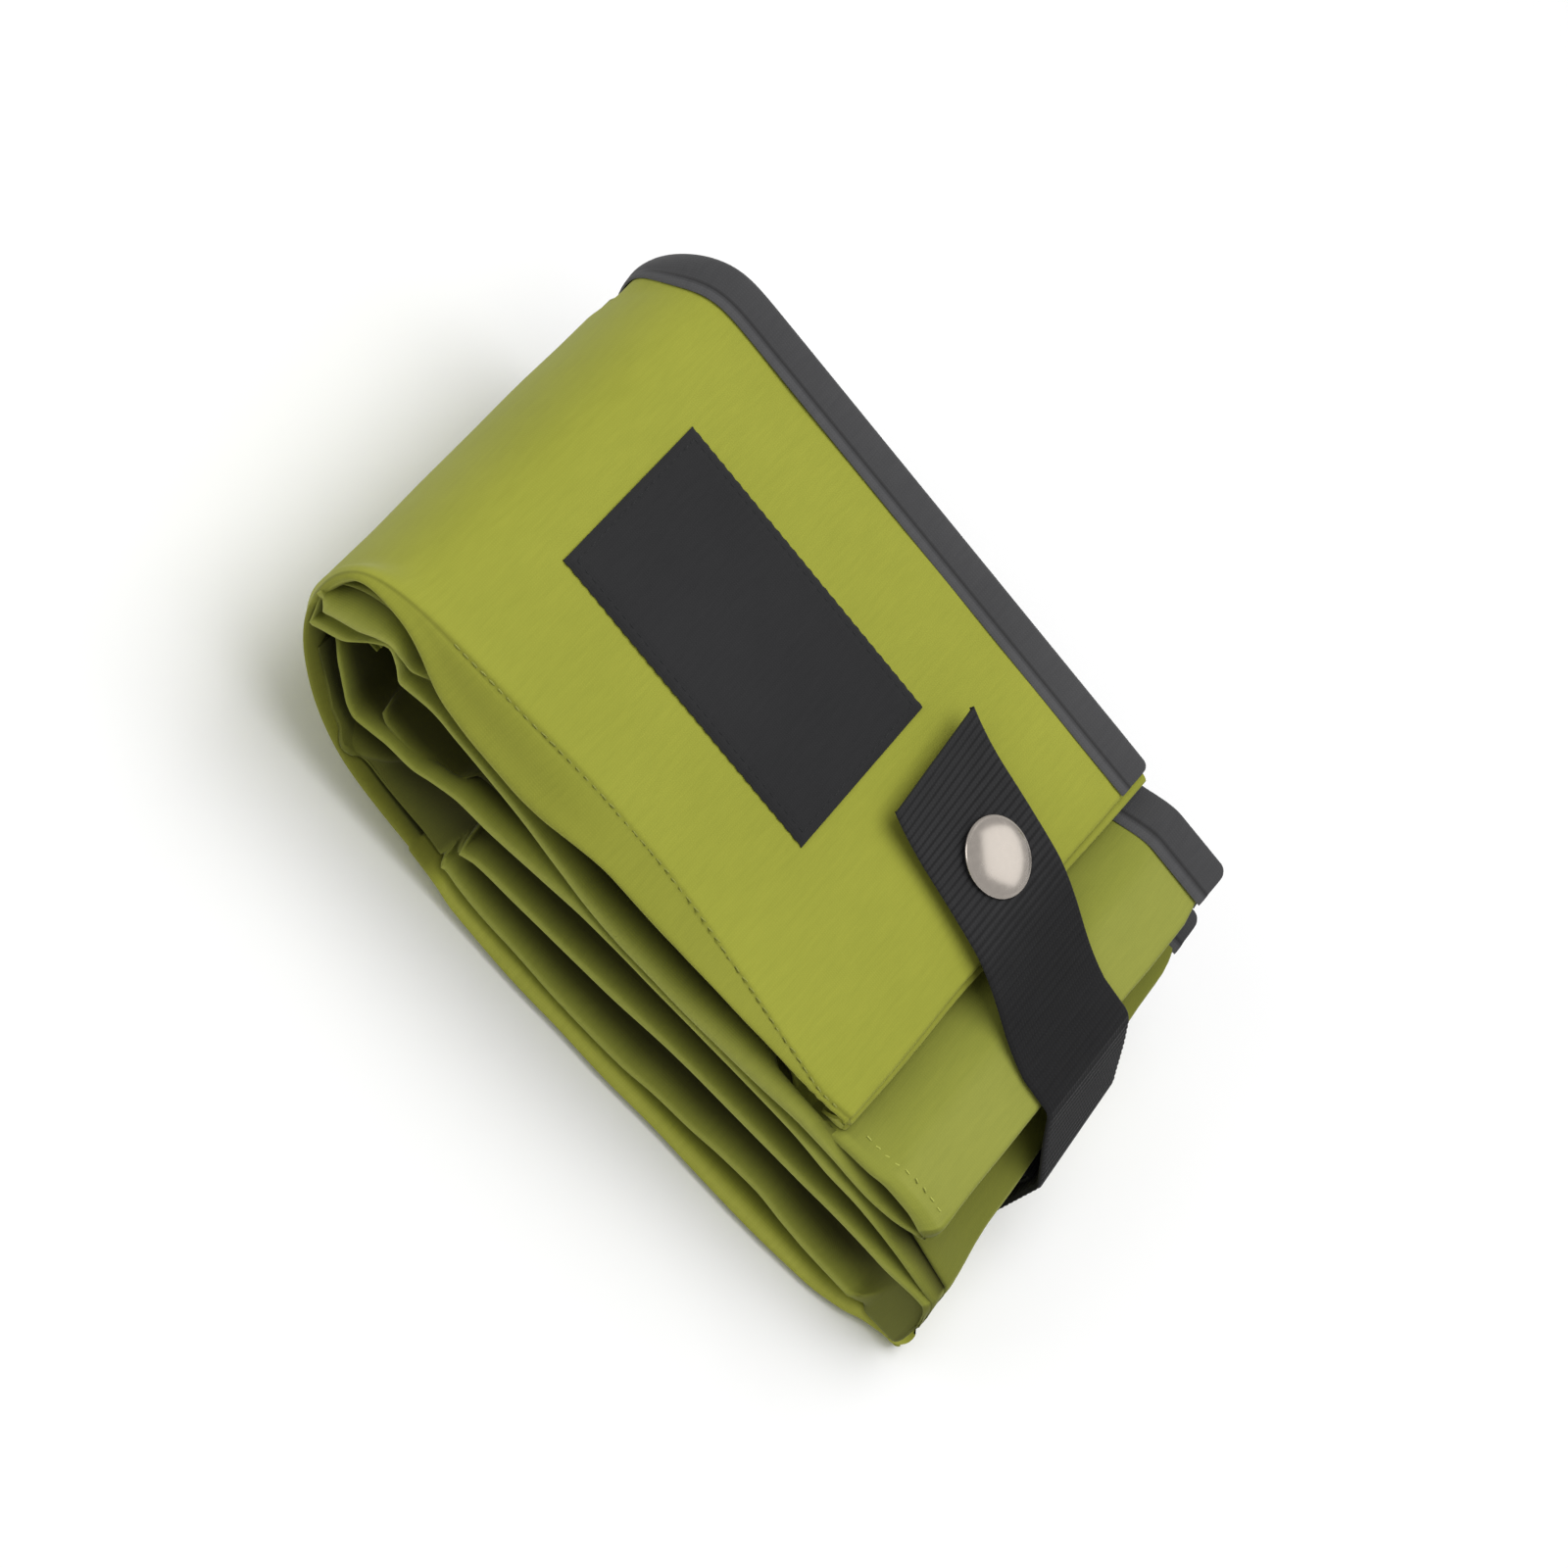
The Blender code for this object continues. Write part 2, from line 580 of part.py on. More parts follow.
class StrapPath:
    """Middle line of the strap past its upper hinge: pieces of (length, radius or None)."""

    def __init__(self):
        self.x = STRAP_HINGE_X
        self.z = top_height(STRAP_HINGE_X, STRAP_HINGE_Y) + strap_lift(STRAP_HINGE_X)
        fall = top_height(STRAP_HINGE_X, STRAP_HINGE_Y) - top_height(STRAP_HINGE_X + GAP, STRAP_HINGE_Y)
        self.angle = math.atan2(fall, GAP)
        drop = math.radians(STRAP_DROP_DEGREES)
        bend = (drop - self.angle) * STRAP_BEND_RADIUS
        bend_x = STRAP_BEND_RADIUS * (math.sin(drop) - math.sin(self.angle))
        knee_x = STRAP_KNEE_RADIUS * (1.0 - math.sin(drop))
        ledge_x = STRAP_LEDGE * math.cos(self.angle)
        face_x = end_at(BACK_RIGHT_END, STRAP_TAIL_Y)
        self.tail_x = face_x + GAP * 3.0 + PATCH_THICKNESS * 2.0 + STRAP_HALF
        slope = (self.tail_x - self.x - ledge_x - bend_x - knee_x) / math.cos(drop)
        knee = (math.pi / 2.0 - drop) * STRAP_KNEE_RADIUS
        self.pieces = ((STRAP_LEDGE, None), (bend, STRAP_BEND_RADIUS), (slope, None), (knee, STRAP_KNEE_RADIUS))
        self.hinge = STRAP_LEDGE + bend + STRAP_SEWN_DROP
        self.knee = STRAP_LEDGE + bend + slope + knee
        self.length = self.knee + self.at(self.knee)[1] - STRAP_TAIL_Z

    def at(self, along):
        """X, Z and downward angle at a distance along the line."""
        x, z, angle = self.x, self.z, self.angle
        left = along
        for length, radius in self.pieces:
            step = min(left, length)
            left -= step
            if radius is None:
                x += step * math.cos(angle)
                z -= step * math.sin(angle)
                continue
            turned_angle = angle + step / radius
            x += radius * (math.sin(turned_angle) - math.sin(angle))
            z -= radius * (math.cos(angle) - math.cos(turned_angle))
            angle = turned_angle
        return x + left * math.cos(angle), z - left * math.sin(angle), angle

    def surface(self, along, width, height):
        """A point beside the line: along it, across the strap and above it."""
        x, z, angle = self.at(along)
        skew = TAIL_SKEW * smooth((along - self.hinge) / (self.knee - self.hinge))
        y = mix(STRAP_HINGE_Y, STRAP_TAIL_Y, along / self.length) + width
        return Vector((x + height * math.sin(angle) + width * skew, y,
                       z + height * math.cos(angle) + width * TILT_SLOPE))


STRAP = StrapPath()


def strap_strip(name, start, end, place, steps):
    """A length of strap with full-round ends, from place(along, width, height)."""

    def surface(u, v, side):
        along = mix(start, end, eased_ends(u))
        half_height = rounded_half(along - start, end - along)
        return place(along, STRAP_WIDTH * (v - 0.5), side * half_height)

    return slab(name, WEBBING, steps, surface, (1.0, -1.0))


def flap_place(x, width, height):
    """A point of the flap, which follows the top of the pack."""
    along_share = (x - STRAP_FREE_END_X) / (STRAP_HINGE_X - STRAP_FREE_END_X)
    y = mix(STRAP_FREE_END_Y, STRAP_HINGE_Y, along_share) + width
    return Vector((x, y, top_height(x, y) + strap_lift(x) + height))


STRAP_FLAP = strap_strip("strap_flap", STRAP_FREE_END_X, STRAP_HINGE_X + STRAP_HALF, flap_place, FLAP_STEPS)
STRAP_BEND = strap_strip("strap_bend", STRAP_HALF + GAP, STRAP.hinge - STRAP_HALF - GAP, STRAP.surface, BEND_STEPS)
STRAP_TAIL = strap_strip("strap_tail", STRAP.hinge - STRAP_HALF, STRAP.length, STRAP.surface, TAIL_STEPS)


# Touch fastener between the tail and the right half's corner fold


def patch(name, face):
    """A patch whose outer face is face(y)."""

    def surface(share, y, depth):
        width = y - STRAP_TAIL_Y
        z = mix(PATCH_BOTTOM_Z, PATCH_TOP_Z, share) + width * TILT_SLOPE
        return Vector((face(y) - depth, y, z))

    y_range = (STRAP_TAIL_Y - PATCH_WIDTH / 2.0, STRAP_TAIL_Y + PATCH_WIDTH / 2.0)
    return sheet(name, WEBBING, surface, (0.0, PATCH_THICKNESS), y_range, SMALL_STEPS)


LOOP_PATCH = patch("loop_patch", lambda y: end_at(BACK_RIGHT_END, y) + GAP + PATCH_THICKNESS)
HOOK_PATCH = patch("hook_patch", lambda y: end_at(BACK_RIGHT_END, y) + GAP * 2.0 + PATCH_THICKNESS * 2.0)


# Holes for the snap's posts


def snap_cutter():
    """A cylinder along the snap's axis, wide enough for the posts to pass."""
    bm = bmesh.new()
    depth = CAP_BASE - WASHER_TOP + HOLE_OVERRUN
    bmesh.ops.create_cone(bm, cap_ends=True, segments=ROUND_SEGMENTS, radius1=HOLE_RADIUS,
                          radius2=HOLE_RADIUS, depth=depth)
    cutter = add_object("snap_hole_cutter", bm, METAL)
    PARTS.objects.unlink(cutter)
    CUTTERS.objects.link(cutter)
    cutter.location = SNAP_BASE
    cutter.rotation_euler = SNAP_TURN
    cutter.display_type = "WIRE"
    cutter.hide_render = True
    return cutter


SNAP_CUTTER = snap_cutter()
for pierced in (LEFT["front_cover"], LEFT["front_board"], STRAP_FLAP):
    hole = pierced.modifiers.new("snap_hole", "BOOLEAN")
    hole.operation = "DIFFERENCE"
    hole.solver = "EXACT"
    hole.object = SNAP_CUTTER


# Joint axes

fold_x = SPINE_X + FOLD_AXIS_INSET
tail_x, tail_z, tail_angle = STRAP.at(STRAP.hinge)
FOLD_AXIS = add_axis("half_fold_axis", (fold_x, 0.0, parting_height(fold_x, 0.0)))
FLAP_AXIS = add_axis("strap_flap_axis", (STRAP.x, STRAP_HINGE_Y, STRAP.z))
TAIL_AXIS = add_axis("strap_tail_axis", (tail_x, mix(STRAP_HINGE_Y, STRAP_TAIL_Y, STRAP.hinge / STRAP.length), tail_z))
carry(FLAP_AXIS, (STRAP_FLAP, SNAP_CAP, SNAP_SOCKET))
carry(TAIL_AXIS, (STRAP_TAIL, HOOK_PATCH))
carry(FOLD_AXIS, (*LEFT.values(), LABEL, STRAP_BEND, SNAP_STUD, SNAP_WASHER, FLAP_AXIS, TAIL_AXIS))
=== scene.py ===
import math

import bpy
import numpy as np
from mathutils import Matrix, Vector, noise


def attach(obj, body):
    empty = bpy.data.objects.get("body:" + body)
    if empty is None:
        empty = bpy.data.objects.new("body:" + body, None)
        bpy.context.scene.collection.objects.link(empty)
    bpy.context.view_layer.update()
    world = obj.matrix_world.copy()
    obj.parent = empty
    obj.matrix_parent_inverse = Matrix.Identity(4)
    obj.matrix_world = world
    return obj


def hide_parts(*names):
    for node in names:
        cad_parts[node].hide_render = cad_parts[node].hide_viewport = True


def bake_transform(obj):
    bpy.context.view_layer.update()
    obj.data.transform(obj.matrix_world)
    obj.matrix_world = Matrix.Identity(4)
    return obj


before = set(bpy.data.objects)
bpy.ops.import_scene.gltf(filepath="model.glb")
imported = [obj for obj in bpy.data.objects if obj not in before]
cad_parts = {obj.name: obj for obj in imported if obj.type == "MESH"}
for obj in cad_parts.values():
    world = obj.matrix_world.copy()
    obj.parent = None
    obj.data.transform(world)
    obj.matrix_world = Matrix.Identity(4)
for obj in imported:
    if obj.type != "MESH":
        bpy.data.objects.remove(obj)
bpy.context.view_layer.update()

MM = 0.001
scene = bpy.context.scene
scene.view_settings.view_transform = "Standard"


def link(obj):
    scene.collection.objects.link(obj)
    return obj


# Camera of the photo

CAMERA_ROLL, CAMERA_ELEVATION, CAMERA_YAW = 57, 50.1, -13.2
CAMERA_PLACE = (-0.1371, -0.5757, 0.7465)
CAMERA_LENS = 96.1


def place_camera():
    turn = Matrix.Identity(4)
    for angle, axis in ((CAMERA_YAW, "Z"), (90 - CAMERA_ELEVATION, "X"), (CAMERA_ROLL, "Z")):
        turn = turn @ Matrix.Rotation(math.radians(angle), 4, axis)
    data = bpy.data.cameras.new("camera")
    data.sensor_width = 36
    data.lens = CAMERA_LENS
    data.clip_start = 0.05
    camera = link(bpy.data.objects.new("camera", data))
    camera.matrix_world = Matrix.Translation(CAMERA_PLACE) @ turn
    scene.camera = camera


place_camera()


# Sizes of the folded pack, in millimetres, as in the part's source

HALF_LENGTH, HALF_WIDTH = 107.5, 64
SPINE_X, LOW_X = -86, -49.5  # the top and the underside run level from here to the open end
LOW_RUN = LOW_X + HALF_LENGTH
SPINE_POWER = 1.35  # how round the spine is below its waist
UPPER_SHARE = 0.375  # share of the spine's side view above its waist
TOP_HEIGHTS = (65, 76, 43, 57.5)  # near and far side at the spine, then at the open end
PARTING_HEIGHTS = (33, 38, 25.5, 41)
END_WALL_DEPTH, SECOND_DEPTH = 4.68, 8.04  # from a half's outer face to its end wall's two layers
BACK_WALL_DEPTH = 1.47  # from the parting to a back wall's cover
RIM_RADIUS = 4
NEAR_PULL, RIM_PULL = 2.2, 6.5  # how far the cloth is drawn in at the spine


def mix(a, b, share):
    return a + (b - a) * share


def smooth(t):
    t = np.clip(t, 0, 1)
    return t * t * (3 - 2 * t)


def fade(value, start, width):
    """0 up to start, 1 from start + width on."""
    return smooth((value - start) / width)


def bell(value, centre, width):
    return np.exp(-((value - centre) / width) ** 2)


def shares(count):
    return np.linspace(0, 1, count)


def inward(y):
    return (y + HALF_WIDTH) / (2 * HALF_WIDTH)


def level(heights, x, y):
    spine_near, spine_far, end_near, end_far = heights
    across = (x + HALF_LENGTH) / (2 * HALF_LENGTH)
    return mix(mix(spine_near, spine_far, inward(y)), mix(end_near, end_far, inward(y)), across)


def top(x, y):
    return level(TOP_HEIGHTS, x, y)


def parting(x, y):
    return level(PARTING_HEIGHTS, x, y)


def bottom(x, y):
    inset = np.clip(1 - (x + HALF_LENGTH) / LOW_RUN, 0, 1)
    return parting(-HALF_LENGTH, y) * (1 - (1 - inset ** SPINE_POWER) ** (1 / SPINE_POWER))


def roof(x, y):
    """Top of the pack, with its fall round the spine."""
    share = np.clip((SPINE_X - x) / (HALF_LENGTH + SPINE_X - NEAR_PULL), 0, 0.98)
    waist = parting(-HALF_LENGTH, y)
    fall = waist + (top(SPINE_X, y) - waist) * np.sqrt(1 - share ** 2)
    return np.where(x < SPINE_X, fall, top(x, y))


def shelf(x, y):
    """Outer face of the second layer, which rises to just under the top layer's open end."""
    return roof(x, y) - (SECOND_DEPTH + 2.5 * fade(-x, 72, 26) - 5.54 * fade(x, 53, 17))


def open_end(near, far):
    """Function of y for where a layer ends, from its near corner to its rim."""
    return lambda y: mix(near, far, inward(y))


top_end, second_end = open_end(53, 54.5), open_end(87, 88)
third_end, low_end = open_end(101, 95), open_end(HALF_LENGTH, 99)


def set_back(reach, radius):
    """How far a rounded corner stands back, at a reach past its arc's start."""
    reach = np.clip(reach, 0, radius)
    return radius - np.sqrt(radius * radius - reach * reach)


def rim_corner(y):
    return set_back(y - (HALF_WIDTH - RIM_RADIUS), RIM_RADIUS)


def near_corner(y, near, radius):
    return set_back(near + radius - y, radius)


def nose(t, y):
    """Side view round the spine, from the top to the underside."""
    waist = parting(-HALF_LENGTH, y)
    rim = RIM_PULL * fade(t, 0.25, 0.15) * (1 - fade(t, 0.7, 0.3))
    pull = mix(NEAR_PULL, rim, fade(y, 50, 9))
    upper = np.clip(t / UPPER_SHARE, 0, 1) * math.pi / 2
    lower = np.clip((t - UPPER_SHARE) / (1 - UPPER_SHARE), 0, 1) * math.pi / 2
    x_top = SPINE_X - (HALF_LENGTH + SPINE_X - pull) * np.sin(upper)
    z_top = waist + (top(SPINE_X, y) - waist) * np.cos(upper)
    power = 2 / SPINE_POWER
    x_low = -HALF_LENGTH + pull + (LOW_RUN - pull) * (1 - np.cos(lower) ** power)
    z_low = waist * (1 - np.sin(lower) ** power)
    return np.where(t < UPPER_SHARE, x_top, x_low), np.where(t < UPPER_SHARE, z_top, z_low)


# Curves


def along(points, x, column=1):
    """Smooth line through points (place, value, ...), without overshoot."""
    table = np.array(points, float)
    places, values = table[:, 0], table[:, column]
    x = np.clip(np.asarray(x, float), places[0], places[-1])
    h = np.diff(places)
    d = np.diff(values) / h
    m = np.zeros(len(places))
    m[0], m[-1] = d[0], d[-1]
    for i in range(1, len(places) - 1):
        if d[i - 1] * d[i] > 0:
            w1, w2 = 2 * h[i] + h[i - 1], h[i] + 2 * h[i - 1]
            m[i] = (w1 + w2) / (w1 / d[i - 1] + w2 / d[i])
    i = np.clip(np.searchsorted(places, x, side="right") - 1, 0, len(h) - 1)
    t = (x - places[i]) / h[i]
    return ((1 + 2 * t) * (1 - t) ** 2 * values[i] + t * (1 - t) ** 2 * h[i] * m[i]
            + t * t * (3 - 2 * t) * values[i + 1] + t * t * (t - 1) * h[i] * m[i + 1])


def spline(control, per_span=4):
    """Uniform cubic B-spline of rows of control points, from the first to the last."""
    c = np.asarray(control, float)
    c = np.concatenate([2 * c[:1] - c[1:2], c, 2 * c[-1:] - c[-2:-1]])
    spans = len(c) - 3
    rows = []
    for k in range(spans):
        for j in range(per_span + (k == spans - 1)):
            t = j / per_span
            weights = ((1 - t) ** 3, 3 * t ** 3 - 6 * t * t + 4, -3 * t ** 3 + 3 * t * t + 3 * t + 1, t ** 3)
            rows.append(sum(w / 6 * c[k + q] for q, w in enumerate(weights)))
    return np.array(rows)


# Meshes

PLAIN = 0.82  # value of the attribute "fold" on open cloth, which paints light into the colour: less is painted shade, more a painted highlight on a lip
LEVEL_COLUMN = 10  # a row of every sheet's grid in its level part


def new_mesh(name, verts, faces, folds, uvs):
    """Mesh of verts in millimetres, each with a fold value (painted shade and highlight) and a UV in metres.
    """
    mesh = bpy.data.meshes.new(name)
    mesh.from_pydata((np.asarray(verts) * MM).tolist(), [], faces)
    loops = np.zeros(len(mesh.loops), int)
    mesh.loops.foreach_get("vertex_index", loops)
    mesh.uv_layers.new(name="lengths").data.foreach_set("uv", np.asarray(uvs)[loops].ravel())
    mesh.attributes.new("fold", "FLOAT", "POINT").data.foreach_set("value", folds)
    return mesh


def new_piece(name, mesh, material, sharp=None):
    mesh.materials.append(material)
    mesh.shade_smooth()
    if sharp is not None:
        mesh.set_sharp_from_angle(angle=math.radians(sharp))
    return link(bpy.data.objects.new(name, mesh))


def grid_normals(p):
    n = np.cross(np.gradient(p, axis=0), np.gradient(p, axis=1))
    return n / np.maximum(np.linalg.norm(n, axis=2, keepdims=True), 1e-9)


def lengths_along(p, axis):
    """Length from the first point of each line of the grid."""
    return np.insert(np.cumsum(np.linalg.norm(np.diff(p, axis=axis), axis=2), axis=axis), 0, 0, axis=axis)


def cloth(name, points, material, thickness=0.6, flip=False, fold=None):
    """A closed sheet on a grid of points in millimetres, thickened behind its face."""
    p = np.asarray(points, float)
    rows, cols = p.shape[:2]
    n = -grid_normals(p) if flip else grid_normals(p)
    back = p - n * thickness
    u = lengths_along(p, 0).mean(axis=1, keepdims=True)
    v = lengths_along(p, 1)
    v = v - v[:, cols // 2:cols // 2 + 1]
    uv = np.stack([np.broadcast_to(u, v.shape), v], axis=2).reshape(-1, 2) * MM
    index = np.arange(rows * cols).reshape(rows, cols)
    a, b, c, d = index[:-1, :-1], index[1:, :-1], index[1:, 1:], index[:-1, 1:]
    front = np.stack([a, b, c, d], axis=2).reshape(-1, 4)
    edge = np.concatenate([index[:, 0], index[-1, 1:], index[-2::-1, -1], index[0, -2::-1]])
    e0, e1 = edge[:-1], edge[1:]
    rim = np.stack([e0, e0 + rows * cols, e1 + rows * cols, e1], axis=1)
    if flip:
        front, rim = front[:, ::-1], rim[:, ::-1]
    rear = front[:, ::-1] + rows * cols
    faces = np.concatenate([front, rear, rim]).tolist()
    shade = np.full(rows * cols, PLAIN) if fold is None else fold.ravel()
    verts = np.concatenate([p.reshape(-1, 3), back.reshape(-1, 3)])
    mesh = new_mesh(name, verts, faces, np.concatenate([shade, shade]), np.concatenate([uv, uv]))
    return new_piece(name, mesh, material, 60)


def wrinkle(p, size, height, seed, stretch=(1, 1, 1)):
    """Small soft unevenness along the normals."""
    n = grid_normals(p)
    shift = Vector((seed, seed * 1.7, seed * 0.3))
    out = p.copy()
    for i, j in np.ndindex(p.shape[:2]):
        out[i, j] += n[i, j] * height * noise.noise(Vector(p[i, j] * stretch) / size + shift)
    return out


# Materials


def set_inputs(tree, node, inputs):
    """Set each input to a value, or link it to another node's output."""
    for key, value in inputs.items():
        if isinstance(value, bpy.types.NodeSocket):
            tree.links.new(value, node.inputs[key])
        else:
            node.inputs[key].default_value = value


def add(tree, kind, inputs=None, **settings):
    node = tree.nodes.new(kind)
    for key, value in settings.items():
        setattr(node, key, value)
    set_inputs(tree, node, inputs or {})
    return node


def new_material(name):
    material = bpy.data.materials.new(name)
    material.use_nodes = True
    tree = material.node_tree
    return material, tree, tree.nodes["Principled BSDF"]


def ramp(tree, factor, low, high, start, end):
    node = add(tree, "ShaderNodeValToRGB", {"Fac": factor})
    for element, colour, place in zip(node.color_ramp.elements, (low, high), (start, end)):
        element.color = (*colour, 1)
        element.position = place
    return node


def speckle(tree, scale, detail, vector=None):
    if vector is None:
        vector = add(tree, "ShaderNodeTexCoord").outputs["Object"]
    values = {"Vector": vector, "Scale": scale, "Detail": detail}
    return add(tree, "ShaderNodeTexNoise", values).outputs["Fac"]


def times_plus(tree, value, factor, base):
    return add(tree, "ShaderNodeMath", {0: value, 1: factor, 2: base}, operation="MULTIPLY_ADD").outputs[0]


def roughness_between(tree, value, low, high):
    return add(tree, "ShaderNodeMapRange", {"Value": value, "To Min": low, "To Max": high}).outputs["Result"]


def bumps(tree, height, strength, distance):
    values = {"Height": height, "Strength": strength, "Distance": distance}
    return add(tree, "ShaderNodeBump", values).outputs["Normal"]


def cloth_material(name, dark, light, pitch, roughness, sheen, bump, lip_highlight=(1.5, 1.5, 1.5)):
    """Woven cloth: a weave along the sheet's own lengths, blotches and fibres, with painted shade and painted
    lip highlights from the fold attribute.
    """
    material, tree, shader = new_material(name)
    uv = add(tree, "ShaderNodeUVMap", uv_map="lengths").outputs["UV"]
    wave = {"Vector": uv, "Scale": 0.314 / pitch, "Distortion": 0.6, "Detail": 1, "Detail Scale": 0.6}
    warp, weft = (add(tree, "ShaderNodeTexWave", wave, wave_type="BANDS", bands_direction=way).outputs["Fac"]
                  for way in "XY")
    weave = add(tree, "ShaderNodeMath", {0: warp, 1: weft}, operation="MULTIPLY").outputs[0]
    blotch = speckle(tree, 22, 4)
    thread = add(tree, "ShaderNodeMapping", {"Vector": uv, "Scale": (1, 0.12, 1)}).outputs["Vector"]
    fibre = speckle(tree, 900, 3, thread)
    tone = times_plus(tree, blotch, 0.55, 0)
    tone = times_plus(tree, weave, 0.14, tone)
    tone = times_plus(tree, fibre, 0.4, tone)
    colour = ramp(tree, tone, dark, light, 0.25, 0.8).outputs["Color"]
    # Painted shade and highlight: the fold attribute darkens the colour in pockets and under folds, and
    # lightens it on lips by the painted lip highlight factor
    painted_light = add(tree, "ShaderNodeAttribute", attribute_name="fold").outputs["Fac"]
    shade = ramp(tree, painted_light, (0.14, 0.13, 0.12), (1, 1, 1), 0, PLAIN)
    shade.color_ramp.elements.new(0.97).color = (*lip_highlight, 1)
    tint = add(tree, "ShaderNodeMix", {"Factor": 1, "A": colour, "B": shade.outputs["Color"]},
               data_type="RGBA", blend_type="MULTIPLY")
    set_inputs(tree, shader, {
        "Base Color": tint.outputs["Result"],
        "Roughness": roughness_between(tree, fibre, roughness - 0.08, roughness + 0.08),
        "Normal": bumps(tree, times_plus(tree, fibre, 0.25, weave), bump, pitch * 0.25),
        "Sheen Weight": sheen, "Sheen Roughness": 0.5, "Specular IOR Level": 0.15})
    return material


def metal_material(name, colour, roughness):
    material, tree, shader = new_material(name)
    grain = speckle(tree, 700, 5)
    set_inputs(tree, shader, {
        "Base Color": ramp(tree, grain, tuple(c * 0.95 for c in colour), colour, 0.3, 0.7).outputs["Color"],
        "Roughness": roughness_between(tree, grain, roughness - 0.06, roughness + 0.08),
        "Normal": bumps(tree, grain, 0.03, 0.00005), "Metallic": 1})
    return material


def board_material(name, dark, light):
    material, tree, shader = new_material(name)
    pulp = speckle(tree, 260, 6)
    set_inputs(tree, shader, {
        "Base Color": ramp(tree, pulp, dark, light, 0.3, 0.75).outputs["Color"],
        "Normal": bumps(tree, pulp, 0.2, 0.0002), "Roughness": 0.75})
    return material


# Painted highlight on the green cloth's lips, a factor on its colour
GREEN_LIP_HIGHLIGHT = (1.25, 1.22, 1.6)
GREEN = cloth_material("green_cloth", (0.262, 0.278, 0.034), (0.338, 0.35, 0.048),
                       0.0006, 0.8, 0.06, 0.16, GREEN_LIP_HIGHLIGHT)
# Painted shade: a darker copy of the green cloth for the sleeves, end walls and back fold
SHADE = cloth_material("shaded_green_cloth", (0.215, 0.235, 0.036), (0.275, 0.29, 0.048),
                       0.0006, 0.8, 0.06, 0.16, GREEN_LIP_HIGHLIGHT)
TAPE = cloth_material("grey_binding_tape", (0.046, 0.046, 0.048), (0.068, 0.068, 0.07),
                      0.0007, 0.85, 0.1, 0.3)
PATCH = cloth_material("dark_label_cloth", (0.019, 0.019, 0.02), (0.029, 0.029, 0.03),
                       0.0006, 0.85, 0.05, 0.3)
WEB = cloth_material("black_webbing", (0.012, 0.012, 0.0125), (0.024, 0.024, 0.025), 0.0009, 0.85, 0.05, 0.4)
THREAD = cloth_material("grey_thread", (0.03, 0.031, 0.033), (0.05, 0.052, 0.055), 0.0004, 0.7, 0.1, 0.3)
GREEN_THREAD = cloth_material("green_thread", (0.3, 0.32, 0.06), (0.42, 0.44, 0.1), 0.0004, 0.7, 0.1, 0.3)
NICKEL = metal_material("satin_nickel", (0.74, 0.67, 0.6), 0.24)
BOARD = board_material("plain_board", (0.5, 0.49, 0.45), (0.66, 0.65, 0.61))


# Lips of the near side's folds, set after the photo: (x, height) or (x, y), from the top layer down

TOP_LIP_Z = ((-90.7, 59.8), (-86.2, 59.2), (-82, 57.2), (-77.9, 54.1), (-68.9, 50.4), (-58.1, 48.9),
    (-47.2, 48.8), (-39, 49.6), (-31.6, 51.2), (-19.3, 53), (-1.6, 52.9), (15, 51.6), (33.2, 49.1),
    (40.1, 47.5), (46, 46.6), (54.5, 46.4))
TOP_LIP_Y = ((-101, -60), (-86, -61.5), (-60, -62.5), (-31, -63.2), (0, -63.2), (15, -62.5), (33, -61),
    (48, -58.7), (54.5, -58))
TOP_LIP_RADIUS = ((-90, 1.5), (-60, 1.8), (-30, 1.6), (0, 1.3), (40, 1.3), (54, 1.1))
STITCH_Y = ((-107.5, -61.5), (-100.5, -59.5), (-82.5, -57.2), (-60, -55), (-22.5, -52.8), (10, -54.8),
    (30, -57.2), (43.5, -58.2), (54.5, -57))

SECOND_LIP_Z = ((44, 38.5), (49, 39.5), (54.5, 42), (60.8, 42.9), (66.8, 43.4), (72.7, 44.6), (80, 44.2),
    (88, 42))
LOBE_Z = ((-106, 44), (-103, 48.5), (-100, 52), (-97, 54.2), (-93, 55.8), (-90, 56.4), (-86, 56),
    (-80, 52.5), (-70, 47))
VALLEY_Y = ((-105, -61.6), (-96, -63), (-86, -63), (-80, -60.6), (-74, -57.5), (-66, -50), (-56, -46),
    (26, -46), (33, -52), (37, -60), (50, -60.2), (60, -56), (72, -53.5), (81, -53), (85, -57.5),
    (88, -58.5))
THIRD_LIP_Z = ((-104, 46.5), (-102, 41), (-100.5, 36.5), (-98.2, 38), (-95.9, 39.3), (-93.2, 40.9),
    (-89, 47.4), (-86, 50.8), (-82.6, 48.5), (-78.5, 44.4), (-70, 44.6), (-62.2, 43.6), (-54.1, 42.8),
    (-40.9, 41.6), (-28.8, 39.9), (-14.6, 38.5), (-5, 38.2), (8.4, 38), (26.7, 39.3), (42.7, 40.2),
    (48.2, 40.4), (60.3, 38.4), (75.2, 36.6), (80.3, 36.8), (88, 39))
THIRD_LIP_Y = ((-105, -60.4), (-95, -61.4), (-82, -61.4), (-70, -60.3), (-54, -60), (-28, -61), (0, -62.2),
    (48, -61.8), (60, -60.6), (75, -59.6), (88, -58.2))
THIRD_LIP_RADIUS = ((-105, 1.2), (-80, 1.2), (-20, 1.4), (0, 2.2), (30, 2.6), (48, 2), (60, 1.4),
    (88, 1.1))

